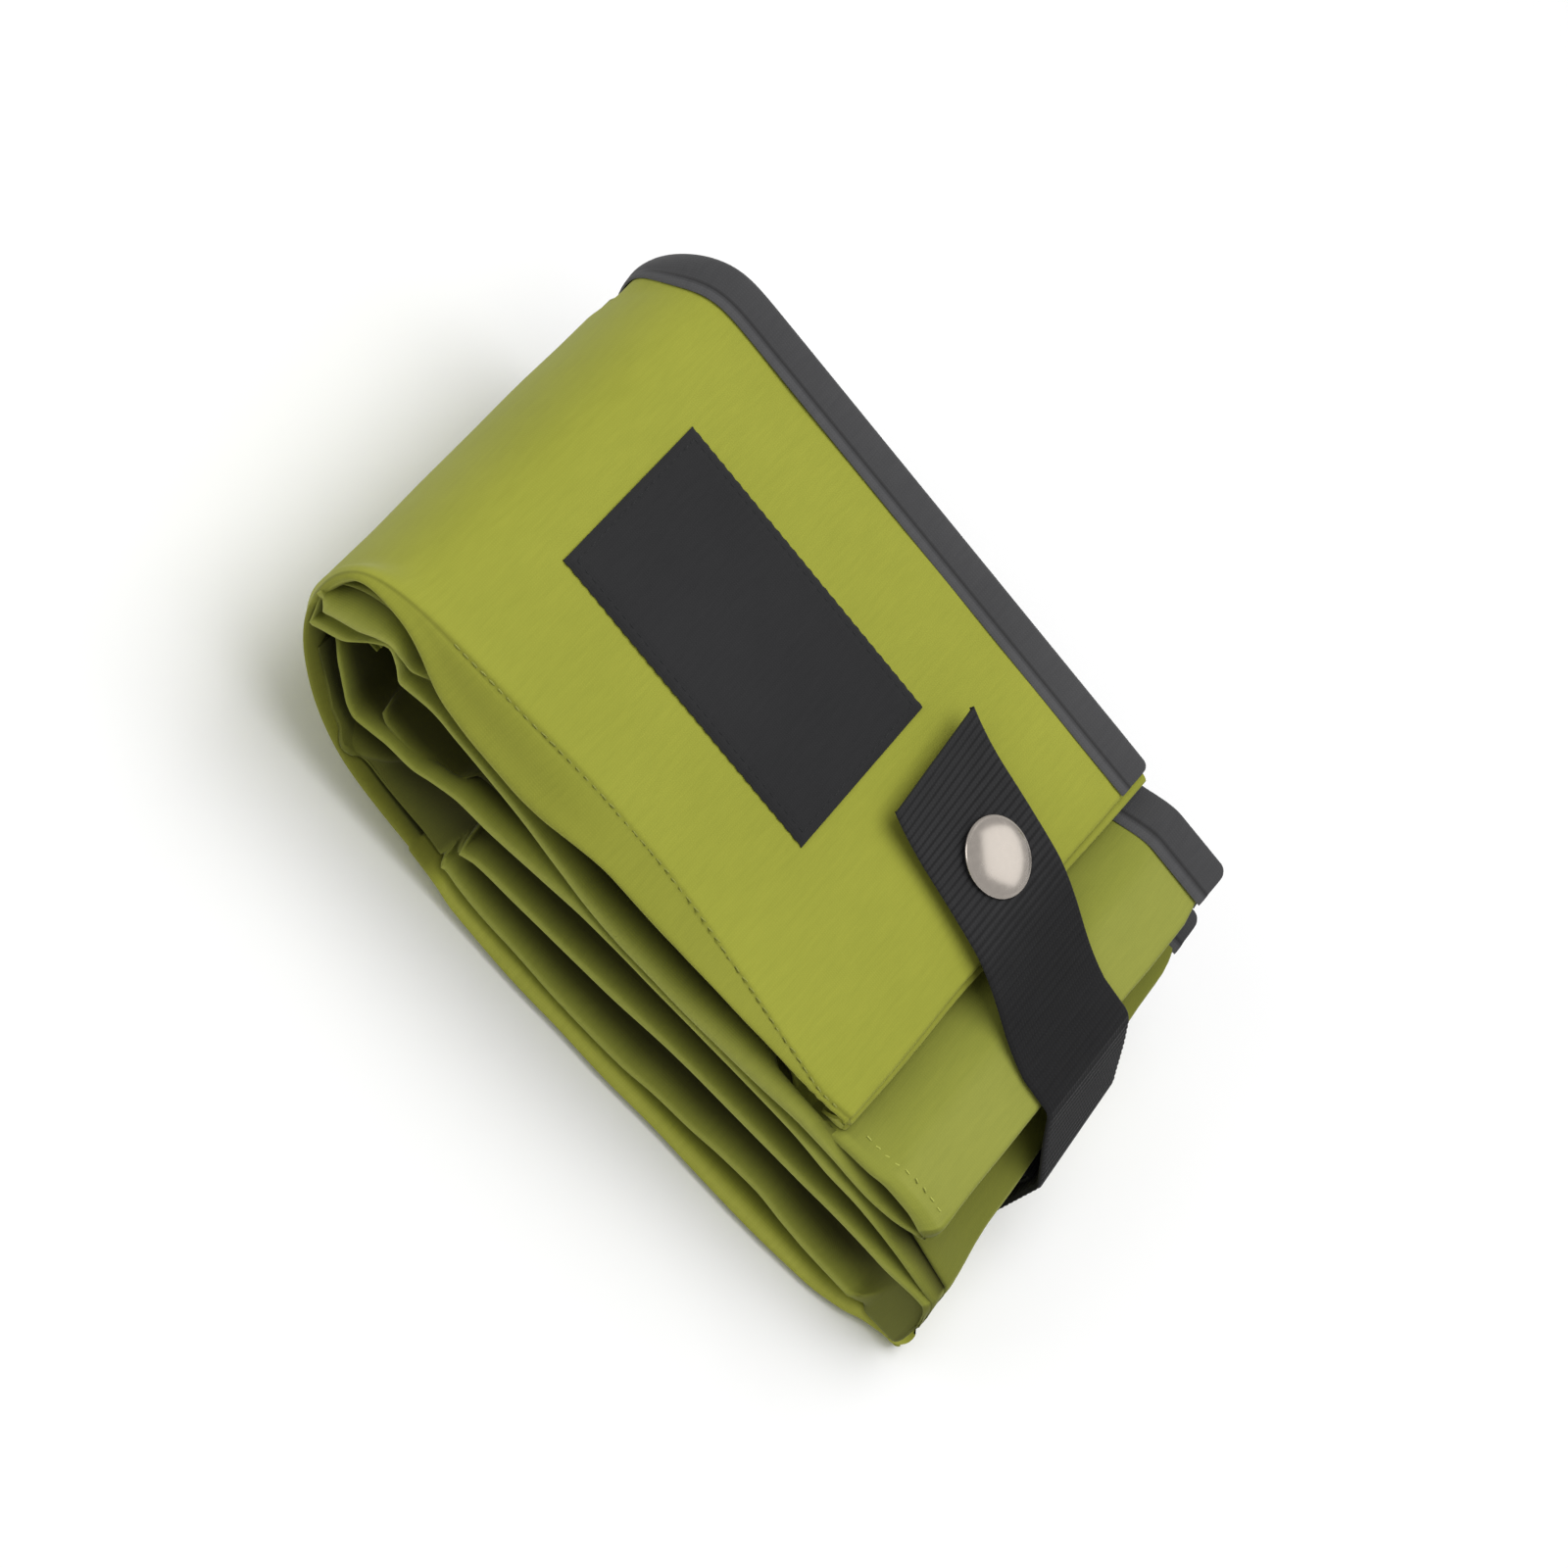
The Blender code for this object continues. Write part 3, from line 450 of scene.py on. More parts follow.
FOURTH_LIP_Z = ((-99, 36), (-94, 34.2), (-89.5, 30.6), (-85.3, 26.6), (-81.9, 23.4), (-79.1, 22.2),
    (-74.8, 23.4), (-70.1, 24.8), (-63.3, 25.6), (-57.9, 28.2), (-50.9, 31.2), (-41.7, 32.6),
    (-29.3, 34.3), (-14.7, 35.6), (0.7, 35.6), (18.4, 36.2), (34.1, 36.5), (47.2, 36.4), (54, 36),
    (62.3, 34.6), (71.6, 33.2), (80.1, 31.2), (87.8, 29.2), (97.9, 26.4), (102.1, 25.2))
FOURTH_LIP_Y = ((-96, -56.5), (-90, -58.8), (-79, -59.4), (-63, -60.4), (-42, -61.8), (54, -61.8),
    (71, -60.4), (80, -59.6), (102, -58))
STRIP_Z = ((-84, 42), (-81.3, 40.7), (-79.5, 34.5), (-76.5, 29), (-73, 26.5), (-66.8, 26.2), (-59.8, 27),
    (-54, 29.2), (-50, 33))
STRIP_Y = ((-81.5, -53), (-80, -56.5), (-72, -57.4), (-60, -58.5), (-50, -59))
RIDGE_SHARE = ((-99, 0), (-90, 0.2), (-85, 1), (-64, 1), (-56, 0), (-40, 0))
RIDGE_Z = ((-99, 27), (-90, 21), (-84.6, 18.5), (-78.8, 16), (-73.2, 16.2), (-67.6, 17.4), (-63.7, 19.6),
    (-56, 22), (-40, 24))
FIFTH_LIP_Z = ((-99, 24), (-90, 17), (-84.6, 15.5), (-78.8, 13.8), (-73.2, 15.2), (-67.6, 17),
    (-63.7, 19.6), (-59.5, 20.5), (-50, 17), (-44, 16.5), (-42, 17.2), (-38.2, 19), (-33.5, 19.6),
    (-26.1, 19.9), (-15.7, 20.3), (-0.4, 21.6), (21.2, 23.7), (43.4, 24.6), (59, 24.9), (69.8, 25.2),
    (81.4, 25), (91.8, 24.6), (102, 24))
SIXTH_LIP_Z = ((-99, 20), (-90, 13), (-78, 10.5), (-60, 9.5), (-44, 9.2), (-41.2, 10.4), (-36.8, 9.5),
    (-28.4, 8.4), (-18.3, 7.8), (-4, 6.8), (15.7, 7.2), (25.4, 8.6), (36.3, 9.5), (46.6, 11), (56.2, 11.5),
    (66.8, 10), (76.2, 9.2), (88.4, 9), (92.1, 8), (105, 7))

# The outer cloth's near edge underneath, and round the spine over the share t of its side view

LOW_DROP = ((-50, 7), (-40, 4.4), (-32.7, 2.4), (-5, 1), (85, 0.8), (95, 1.6), (107.5, 2.4))
LOW_TIP_Y = ((-50, -62.6), (0, -63.2), (60, -63.2), (82, -62.6), (95, -60.8), (100, -59), (107.5, -57.5))
LOW_TIP_RADIUS = ((-50, 1.3), (-38, 2), (95, 2), (107.5, 1.3))
SPINE_EDGE = ((0, -86, 60.3), (0.1, -94.7, 61.2), (0.2, -101.4, 59.4), (0.28, -104.4, 52.5),
    (0.375, -103.9, 43.5), (0.5, -99.6, 32.9), (0.6, -92.6, 25), (0.7, -83, 17.4), (0.8, -70, 12),
    (0.9, -57.5, 9.6), (1, -49.5, 8.4))
LOW_EDGE_Z = (((-104.5, 50), (-103.4, 42)) + tuple((x, z) for t, x, z in SPINE_EDGE if t >= 0.5)
    + ((-40, 5.8), (-32.7, 4), (-5, 2.4), (107.5, 2.4)))


# Outer cloth: one wall from the top's open end round the spine to the underside's

HEM_COLUMNS, TOP_COLUMNS, SPINE_COLUMNS, LOW_COLUMNS = 21, 110, 94, 100
HEM = spline([(-4, 4.9), (-1, 4.7), (1.6, 4.4), (2.3, 3.5), (2, 2.7), (1, 2.1), (0.1, 2), (0.1, 1.7),
    (0.75, 1.4), (0.7, 0.6), (0.2, 0.1), (0, 0)], 6)
LOW_HEM = ((1.2, 0.3), (2.6, 0.3), (4.2, -0.1), (5.2, -0.9), (5.4, -2.2))  # (rise, reach) of its turned end
LEVEL_END_Y = -42  # from the rim to here the outer cloth lies level
LIP_SHARE = 0.78  # share of the near edge from which it is turned under


def outer_columns():
    """(kind, share) of each cross-section, from the top's open end round to the underside's."""
    parts = (("hem", shares(HEM_COLUMNS + 1)[:-1]), ("top", shares(TOP_COLUMNS)),
             ("spine", shares(SPINE_COLUMNS + 2)[1:-1]), ("low", shares(LOW_COLUMNS)))
    return [(kind, t) for kind, places in parts for t in places]


def outer_place(kind, t, y, depth):
    """Point of the outer wall at a depth inside its face."""
    if kind == "top":
        x = mix(top_end(y), SPINE_X, t)
        return x, top(x, y) - depth
    if kind == "low":
        x = mix(LOW_X, low_end(y) - near_corner(y, -57.5, 4), t)
        return x, np.maximum(bottom(x, y) + depth, 0.05)
    x, z = nose(t, y)
    x_before, z_before = nose(max(t - 0.004, 0), y)
    x_after, z_after = nose(min(t + 0.004, 1), y)
    run, rise = x_after - x_before, z_after - z_before
    length = np.sqrt(run * run + rise * rise)
    return x - rise / length * depth, z + run / length * depth


def near_profile(kind, t):
    """Control points (y, depth) of the near edge: droop, lip and the turned-under part."""
    if kind == "top":
        x = mix(53, SPINE_X, t)
        y_tip, radius, stitch = along(TOP_LIP_Y, x), along(TOP_LIP_RADIUS, x), along(STITCH_Y, x)
        drop = max(top(x, -62) - along(TOP_LIP_Z, x) - 1.75 * radius, -1)
    elif kind == "spine":
        w = fade(t, 0, 0.3)
        drop, radius, stitch = 1.2, mix(1.5, 1.3, w), mix(-57.5, -57, w)
        y_tip = mix(mix(-61.5, -61, w), -62.6, fade(t, 0.3, 0.4))
    else:
        x = mix(LOW_X, HALF_LENGTH, t)
        drop, y_tip, radius, stitch = along(LOW_DROP, x), along(LOW_TIP_Y, x), along(LOW_TIP_RADIUS, x), -56
    level_y = max(stitch + 1.2, y_tip + 4.5)
    span = y_tip + radius * 1.2 - level_y
    droop = [(level_y + span * run, drop * fall) for run, fall in ((0.35, 0.12), (0.68, 0.4), (0.92, 0.76))]
    return [(LEVEL_END_Y, 0), (level_y + 3, 0), (level_y, 0)] + droop + [
        (y_tip - radius * 0.15, drop + radius * 0.15), (y_tip, drop + radius * 1.1),
        (y_tip + radius * 1.6, drop + radius * 2), (y_tip + 7, drop + radius * 1.9 + 0.3),
        (y_tip + 14, drop + radius * 1.7 + 0.6)]


def pull_edge(t, y, x, z):
    """Move a spine column's near end to the edge that the photo shows."""
    tip = int(np.argmin(y))
    share = smooth((-49 - y) / (-49 - y[tip]))
    return x + (along(SPINE_EDGE, t, 1) - x[tip]) * share, z + (along(SPINE_EDGE, t, 2) - z[tip]) * share


def round_spine(p, reach=9):
    """Ease the joins of the top, the spine and the underside into one curve."""
    out = p.copy()
    kernel = np.exp(-np.linspace(-1.7, 1.7, 2 * reach + 1) ** 2)
    kernel /= kernel.sum()
    for i in range(reach, len(p) - reach):
        share = fade(-p[i, LEVEL_COLUMN, 0], 70, 12)
        if share > 0:
            out[i] = mix(p[i], np.tensordot(kernel, p[i - reach:i + reach + 1], axes=(0, 0)), share)
    return out


def hem_at(t):
    """(reach beyond the open end, fall) along the turned and sewn hem of the top."""
    return [np.interp(t, shares(len(HEM)), values) for values in HEM.T]


def seam_line(x, y, z):
    """Height of the top, with its sewn groove and small puckers there and at the hem."""
    off = y - along(STITCH_Y, x)
    tight = fade(x, -60, 40) * (1 - fade(x, 44, 8))
    hem = bell(top_end(y) - x, 1.5, 1.8) * fade(y, -54, 6)
    puckers = (0.1 + 0.16 * tight) * bell(off, 0, 2)
    puckers = puckers * np.sin((x + 0.8 * off) * 2.1 + 1.3 * np.sin(x * 0.31))
    hem_puckers = hem * (0.16 * np.sin(y * 1.9 + 1.1 * np.sin(y * 0.37)) - 0.1)
    return z - 0.32 * bell(off, 0, 0.6) + hem_puckers - puckers


def outer_painted_shade(p, row):
    """Painted shade of the outer cloth: dark where it is turned under and on the near side round the spine,
    darker along its seam and in a line along the hem, with a painted highlight just before the lip.
    """
    x, y, z = np.moveaxis(p, 2, 0)
    under = np.clip(PLAIN - (row - LIP_SHARE) * 5, 0, 1)
    fold = np.tile(np.where(row > LIP_SHARE, under, PLAIN + 0.12 * bell(row, 0.72, 0.05)), (len(p), 1))
    inner = fade(-x, 38, 8) * fade(-z, -52, 14) * fade(row, 0.45, 0.3)
    fold = mix(fold, np.minimum(fold, 0.34), inner)
    off = y - along(STITCH_Y, x)
    fold = fold - (z > 44) * (row < 0.72) * (0.36 * bell(off, 0, 0.5) + 0.15 * fade(-off, 0, 1.2))
    hem_share = shares(HEM_COLUMNS + 1)[:-1, None]
    fold[:HEM_COLUMNS] = np.minimum(fold[:HEM_COLUMNS], PLAIN - 0.6 * bell(hem_share, 0.55, 0.08))
    return fold


def outer_grid():
    """Points of the outer cloth, and their shares along the near edge."""
    level_y = np.linspace(62.3, LEVEL_END_Y, 62)[:-1]
    grid = []
    for column, t in outer_columns():
        kind, place = ("top", 0) if column == "hem" else (column, t)
        curve = spline(near_profile(kind, place))
        y = np.concatenate([level_y, curve[:, 0]])
        x, z = outer_place(kind, place, y, np.concatenate([np.zeros(len(level_y)), curve[:, 1]]))
        if kind == "spine":
            x, z = pull_edge(t, y, x, z)
        if kind == "top":
            z = seam_line(x, y, z)
        if column == "hem":
            out, fall = hem_at(t)
            share = 1 - fade(-y, 55.5, 3)
            x = x + out * (0.9 + 0.8 * inward(y)) * mix(0.35, 1, share)
            z = z - fall * share
        grid.append(np.stack([x, y, z], axis=1))
    row = np.concatenate([np.zeros(len(level_y)), shares(len(y) - len(level_y))])
    share = fade(y, -58.5, 5) * (1 - fade(row, 0.2, 0.25)) * (1 - fade(y, 47, 3))
    for rise, out in LOW_HEM:
        grid.append(np.stack([x + out * share, y, z + rise * share], axis=1))
    p = wrinkle(round_spine(np.array(grid)), 24, 0.55, 3.1)
    p[:, :, 2] = np.maximum(p[:, :, 2], 0)
    return p, row


OUTER_GRID, OUTER_ROW = outer_grid()
OUTER = cloth("outer_cloth", OUTER_GRID, GREEN, 0.8, fold=outer_painted_shade(OUTER_GRID, OUTER_ROW))


# The two inner sleeves: folded end wall and floor of each half

RINGS = ((0.97, 0.5), (0.88, 0.95), (0.7, 1.3), (0.4, 1.5), (0.03, 1.6))  # (squeeze, reach) at the open end
PLEAT_ROWS = 17
FACE_ROW = 8  # the first of them that the end's plain face replaces
SHELF_ROWS, SHADOW_ROWS = 44, 40  # the left sleeve's rows in its upper layer, and in the top's shade
LEFT_PLAIN_FROM, RIGHT_PLAIN_FROM = 84, 152  # the lower layers' first rows without painted shade
POCKETS, LOW_POCKET = slice(86, 150), slice(112, 150)  # the right sleeve's rows in its pleats
SHELF_STITCH_Y = -53.6
SLEEVE_STRETCH = (0.5, 1, 1)


def lip(y_tip, z, radius, reach=5):
    """Control points round a fold's lip, from its upper layer to its lower one."""
    turn = ((reach, 1.25), (0.5 * radius, 1.05), (-0.25 * radius, 0.45))
    return ([(y_tip + out, z + radius * rise) for out, rise in turn]
            + [(y_tip + out, z - radius * rise) for out, rise in turn[::-1]])


def left_section(x):
    """Cross-section of the left sleeve, from its rim over the near side and back to its rim."""
    rows = [(60.5, shelf(x, 60.5) - 0.5)]
    rows += [(y, shelf(x, y)) for y in (50, 34, 18, 2, -14, -28, -40, -48)]
    out, lobe = fade(x, 38, 10), fade(-x, 74, 9)
    y_second = mix(mix(-54.5, -58.6, out), -57.6, lobe)
    z_second = mix(mix(shelf(x, -54) - 1, along(SECOND_LIP_Z, x), out), along(LOBE_Z, x), lobe)
    radius = along(THIRD_LIP_RADIUS, x)
    z_third = along(THIRD_LIP_Z, x) + radius * 0.63
    y_valley, z_valley = along(VALLEY_Y, x), mix(z_second, z_third, 0.47)
    reach = mix(mix(5, 2.5, lobe), 6.5, out)
    rows += lip(y_second, z_second - mix(0, 0.8, out), mix(1.1, 1.9, out), reach)
    rows += [(y_valley, mix(z_valley, z_second, 0.25)), (y_valley, mix(z_valley, z_third, 0.25))]
    rows += lip(along(THIRD_LIP_Y, x), z_third, radius)
    rows += [(y, parting(x, y) + 0.5) for y in (-46, -30, -10, 14, 34, 50)]
    return rows


def pleats(x, z_fourth, low):
    """Control points below the fourth lip: two more pleats, ending in a plain face."""
    z_fifth, z_sixth = along(FIFTH_LIP_Z, x) + 0.4, along(SIXTH_LIP_Z, x) + 0.4
    y_wedge = mix(-46, -57.6, fade(x, 80, 19))
    y_valley = mix(-58.2, -47, fade(x, -41.5, 4.5))
    rows = [(y_wedge, mix(z_fourth, z_fifth, 0.35)), (y_wedge, mix(z_fourth, z_fifth, 0.6))]
    rows += lip(mix(-60.6, -59.4, fade(x, 88, 12)), z_fifth, 1.1)
    rows += [(y_valley, mix(z_fifth, z_sixth, 0.3)), (y_valley, mix(z_fifth, z_sixth, 0.6))]
    rows += lip(-61.4, z_sixth, 1.1) + [(-51, low + 5)]
    upper_share, lower_share = fade(x, 74, 22), fade(x, 88.5, 4.5)
    for k in range(FACE_ROW, PLEAT_ROWS):
        down = (k - FACE_ROW) / (PLEAT_ROWS - 1 - FACE_ROW)
        share = max(lower_share, upper_share) if k < FACE_ROW + 2 else lower_share
        y, z = rows[k]
        rows[k] = (mix(y, mix(-57.4, -58.8, down), share), mix(z, mix(z_fifth - 2.8, low + 4.2, down), share))
    return rows


def pocket_face(x, z_fourth, low):
    """Control points below the fourth lip: the lower pocket's flat face, with one ridge."""
    rows = []
    for t in shares(PLEAT_ROWS):
        z = mix(z_fourth - 5, low + 4.4, t)
        ridge = bell(z, along(RIDGE_Z, x), 1.5) * along(RIDGE_SHARE, x)
        rows.append((mix(-46, -59.6, t ** 0.7) - 3.2 * ridge, z))
    return rows


def right_section(x):
    """Cross-section of the right sleeve, from its upper rim over the near side to its lower one."""
    rows = [(60.5, parting(x, 60.5) - 1.6)]
    rows += [(y, parting(x, y) - 0.5) for y in (49, 34, 18, 2, -14, -28, -40)]
    y_fourth, z_fourth = along(FOURTH_LIP_Y, x), along(FOURTH_LIP_Z, x) + 0.4
    strip, inner = fade(-x, 52, 4), fade(-x, 76, 2)
    y_strip = mix(mix(-54, along(STRIP_Y, x), strip), -44, inner)
    z_strip = mix(mix(z_fourth + 2.2, along(STRIP_Z, x), strip), parting(x, -44) - 1, inner)
    rows += lip(y_strip, z_strip, 0.8, 4)
    rows += [(max(y_strip, y_fourth) + mix(0.4, 3.2, strip * (1 - inner)), mix(z_strip, z_fourth, 0.55))]
    rows += lip(y_fourth, z_fourth, 1.1)
    low = max(bottom(x, -58), along(LOW_EDGE_Z, x) - 2.4)
    pleated, plain = np.array(pleats(x, z_fourth, low)), np.array(pocket_face(x, z_fourth, low))
    rows += mix(pleated, plain, fade(-x, 42.6, 1.6)).tolist()
    rows += [(-48, low + 3.9)] + [(y, bottom(x, y) + 3.3) for y in (-30, 0, 50)]
    return rows


def sleeve(section, x_from, x_to, end_at, columns, upper_layer, plain_from):
    """Loft of the cross-sections, closed in a rounded fold at the open end, and its fold values, which paint
    shade deeper in and highlights on the lips.
    """
    grid, fold = [], []
    for share in shares(columns):
        x = mix(x_from, x_to, share)
        y, z = spline(section(x)).T
        grid.append(np.stack([x + (end_at(y, z) - x_to) * share ** 7, y, z], axis=1))
        turn = np.abs(np.gradient(np.arctan2(np.gradient(z), np.gradient(y))))
        turn = np.where(turn > 1.5, 0, turn)
        # Painted shade deeper in from the near side, and a painted highlight where the section turns round a
        # lip
        painted_light = PLAIN * fade(-y, 53.6, 7.4)
        painted_light = painted_light + 0.15 * np.clip(turn * 2.2 - 0.15, 0, 1) * (painted_light > 0.6)
        rows, upper_painted_shade = upper_layer(x)
        painted_light[:rows] = upper_painted_shade
        painted_light[plain_from:] = PLAIN
        fold.append(painted_light)
    x, y, z = grid[-1].T
    tips = [k for k in range(1, len(y) - 1) if y[k] <= y[k - 1] and y[k] < y[k + 1]]
    upper, lower = slice(tips[0], None, -1), slice(tips[-1], None)

    def middle(values):
        """Halfway between the uppermost and the lowest layer, at each point's y."""
        return (np.interp(y, y[upper], values[upper]) + np.interp(y, y[lower], values[lower])) / 2

    for squeeze, reach in RINGS:
        grid.append(np.stack([middle(x) + (x - middle(x)) * squeeze + reach, y,
                              middle(z) + (z - middle(z)) * squeeze], axis=1))
        # Painted shade on the rings that close the open end, darker at the near side
        fold.append(mix(0.45, 0.74, fade(y, -59, 8)))
    return np.array(grid), np.array(fold)


def left_end(y, z):
    return second_end(y) - 1.7 - near_corner(y, -60, 6) - 0.9 * fade(y, 47, 4)


def right_end(y, z):
    foot = mix(low_end(y) - 2, third_end(y) - 0.9, fade(y, -56.5, 9))
    end = mix(foot, third_end(y) - 1.6, np.clip(z / 24, 0, 1))
    return end - near_corner(y, -60.6, 3) - 0.9 * fade(y, 47, 4)


def left_sleeve():
    grid, fold = sleeve(left_section, -104.3, 86.5, left_end, 210,
                        lambda x: (48 if x > 36 else 38, PLAIN), LEFT_PLAIN_FROM)
    grid = wrinkle(grid, 14, 0.5, 7.3, SLEEVE_STRETCH)
    x, y = grid[:, :SHELF_ROWS, 0], grid[:, :SHELF_ROWS, 1]
    tight = fade(x, 58, 8) * bell(y, SHELF_STITCH_Y, 1.6)
    grid[:, :SHELF_ROWS, 2] -= tight * (0.35 + 0.3 * np.sin(x * 2.3 + 1.2 * np.sin(x * 0.4)))
    # Painted shadow of the top layer's open end on the shelf, and the shelf painted a little lighter further
    # out
    past_top = grid[:, :SHADOW_ROWS, 0] - top_end(grid[:, :SHADOW_ROWS, 1])
    shadow = 0.34 * np.exp(-np.maximum(past_top, 0) / 5) * (past_top > -6)
    fold[:, :SHADOW_ROWS] += 0.07 * fade(past_top, 12, 8) - shadow
    return cloth("left_inner_cloth", grid, SHADE, 0.5, flip=True, fold=fold), grid


def right_sleeve():
    # Painted shadow of the strap and the left half on the upper layer's rows beyond x = 76
    grid, fold = sleeve(right_section, -95.5, 101, right_end, 230,
                        lambda x: (44 if x > 20 else 30, mix(PLAIN, 0.5, fade(x, 76, 14))), RIGHT_PLAIN_FROM)
    # Painted shade, deeper in the pleats towards the spine and in the lower pleats towards the open end
    fold[:, POCKETS] *= 1 - 0.62 * fade(-grid[:, POCKETS, 0], 43.5, 2)
    fold[:, LOW_POCKET] *= 1 - 0.42 * fade(grid[:, LOW_POCKET, 0], 86, 6)
    grid = wrinkle(grid, 14, 0.5, 9.9, SLEEVE_STRETCH)
    return cloth("right_inner_cloth", grid, SHADE, 0.5, flip=True, fold=fold)


LEFT_SLEEVE, LEFT_GRID = left_sleeve()
RIGHT_SLEEVE = right_sleeve()


# Binding tapes

TAPE_WIDTH, OUTER_TAPE_WIDTH = 13, 12.4  # of one leg
TAPE_WAVES = ((0, 0.45), (0.04, 0.05), (0.22, -0.3), (0.36, 0.18), (0.46, -0.15), (0.76, -0.4), (1, -0.1))


def tape_profile(middle, inner, width=TAPE_WIDTH):
    """(y, depth) of a folded tape, from its outer leg's edge over the rim to its inner leg's."""
    r = inner + 0.75
    edge, start = HALF_WIDTH - r, HALF_WIDTH - width
    outer_leg = [(start + (edge - start) * share, middle - r + dip) for share, dip in TAPE_WAVES]
    turn = [(edge + r * math.sin(a), middle - r * math.cos(a)) for a in np.linspace(0.25, math.pi - 0.25, 7)]
    return outer_leg + turn + [(y, 2 * middle - depth) for y, depth in outer_leg[::-1]]


def tape_piece(name, grid, flip):
    """A tape, with painted shade in a sewn crease along each leg and a paler inner border."""
    leg = shares(grid.shape[1])
    leg = np.minimum(leg, 1 - leg) / 0.3
    line = np.where(leg < 0.36, 0.93, 0.8) - 0.5 * bell(leg, 0.4, 0.07)
    return cloth(name, grid, TAPE, 0.45, flip=flip, fold=np.tile(line, (len(grid), 1)))


def outer_tape_grid(middle, inner):
    grid = []
    for kind, t in outer_columns()[HEM_COLUMNS:]:
        narrow = fade(t, 0.14, 0.2) * (1 - fade(t, 0.55, 0.3)) if kind == "spine" else 0
        y, depth = spline(tape_profile(middle, inner, OUTER_TAPE_WIDTH - 7.5 * narrow), 3).T
        x, z = outer_place(kind, t, y, depth)
        if kind != "spine":
            share = t if kind == "top" else 1 - t
            x = x - (rim_corner(y) - 0.9) * max(0, 1 - share * 16)
        grid.append(np.stack([x, y, z], axis=1))
    rounded = round_spine(np.array(grid))
    rounded[:, :, 2] = np.maximum(rounded[:, :, 2], 0)
    return rounded


OUTER_TAPE = tape_piece("outer_binding", outer_tape_grid(1.6, 1.7), True)


def left_front_layer(x, y, depth):
    return top(x, y) - END_WALL_DEPTH - depth


def right_front_layer(x, y, depth):
    return bottom(x, y) + END_WALL_DEPTH + depth


def layer_grid(start, end, face, y, depth, columns):
    """Points of a layer from x = start to its open end, on the rows y."""
    x = mix(start, end, shares(columns)[:, None])
    return np.stack([x, np.broadcast_to(y, x.shape), face(x, y, depth)], axis=2)


def straight_tape(name, start, end_at, face):
    y, depth = spline(tape_profile(0.7, 0.75), 3).T
    grid = layer_grid(start, end_at(y) - 1.2 - rim_corner(y), face, y, depth, 90)
    return tape_piece("tape_" + name, grid, name.endswith("right"))


TAPES = {name: straight_tape(name, start, end_at, face) for name, start, end_at, face in (
    ("end_wall_front_binding_left", -66, top_end, left_front_layer),
    ("end_wall_back_binding_left", -32, second_end, lambda x, y, depth: shelf(x, y) - depth),
    ("back_board_binding_left", -88, second_end,
     lambda x, y, depth: parting(x, y) + BACK_WALL_DEPTH + 1.4 - depth),
    ("end_wall_front_binding_right", -12, low_end, right_front_layer),
    ("end_wall_back_binding_right", -18, third_end,
     lambda x, y, depth: bottom(x, y) + SECOND_DEPTH + depth),
    ("back_board_binding_right", -88, third_end,
     lambda x, y, depth: parting(x, y) - BACK_WALL_DEPTH - 1.4 + depth))}


# End walls' outer layers, seen from the rim


def wall_sheet(name, start, end_at, face):
    y = np.linspace(61, -52, 50)
    return cloth(name, layer_grid(start, end_at(y) - 1.5, face, y, 0.35, 80), SHADE, 0.6, flip=True)


WALL_LEFT = wall_sheet("end_wall_cloth_left", -66, top_end, left_front_layer)
WALL_RIGHT = wall_sheet("end_wall_cloth_right", -12, low_end, right_front_layer)


# Stiffener boards, which end where the walls are stitched along the near side


def board(name, start, end_at, face, near_y):
    y = np.concatenate([[61, 60.8], np.linspace(60, near_y + 1, 40), [near_y + 0.3, near_y]])
    rounding = np.concatenate([[0.3, 0.08], np.zeros(40), [0.08, 0.3]])
    return cloth(name, layer_grid(start, end_at(y) - 2, face, y, rounding, 60), BOARD, 1.3, flip=True)


BOARDS = {f"{wall}_board_{half}": board(f"board_{wall}_{half}", start, end_at, face, near_y)
          for wall, half, start, end_at, near_y, face in (
    ("front", "left", -80, top_end, -48, lambda x, y, depth: top(x, y) - 1.3 - depth),
    ("back", "left", -80, second_end, -42, lambda x, y, depth: parting(x, y) + 2.9 - depth),
    ("back", "right", -80, third_end, -42, lambda x, y, depth: parting(x, y) - 1.5 - depth),
    ("front", "right", -48, low_end, -52, lambda x, y, depth: bottom(x, y) + 2.7 - depth))}


# Back wall's tight fold

FOLD_X, FOLD_RADIUS = -91, 1.3
FOLD_LEG = 0.3  # share of the fold's grid in each of its two legs


def back_fold():
    y = np.linspace(51, -50, 40)
    grid = []
    for t in shares(30):
        leg = min(t, 1 - t) / FOLD_LEG
        a = np.clip((t - FOLD_LEG) / 0.4, 0, 1) * math.pi
        x = FOLD_X - FOLD_RADIUS * math.sin(a) if leg >= 1 else mix(SPINE_X, FOLD_X, leg)
        x = np.full_like(y, x)
        grid.append(np.stack([x, y, parting(x, y) + FOLD_RADIUS * math.cos(a)], axis=1))
    return cloth("back_fold_cloth", grid, SHADE, 0.6)


BACK_FOLD = back_fold()


# Label

LABEL_X, LABEL_Y = -33.8, 0.5
LABEL_HALF_LENGTH, LABEL_HALF_WIDTH = 40, 24


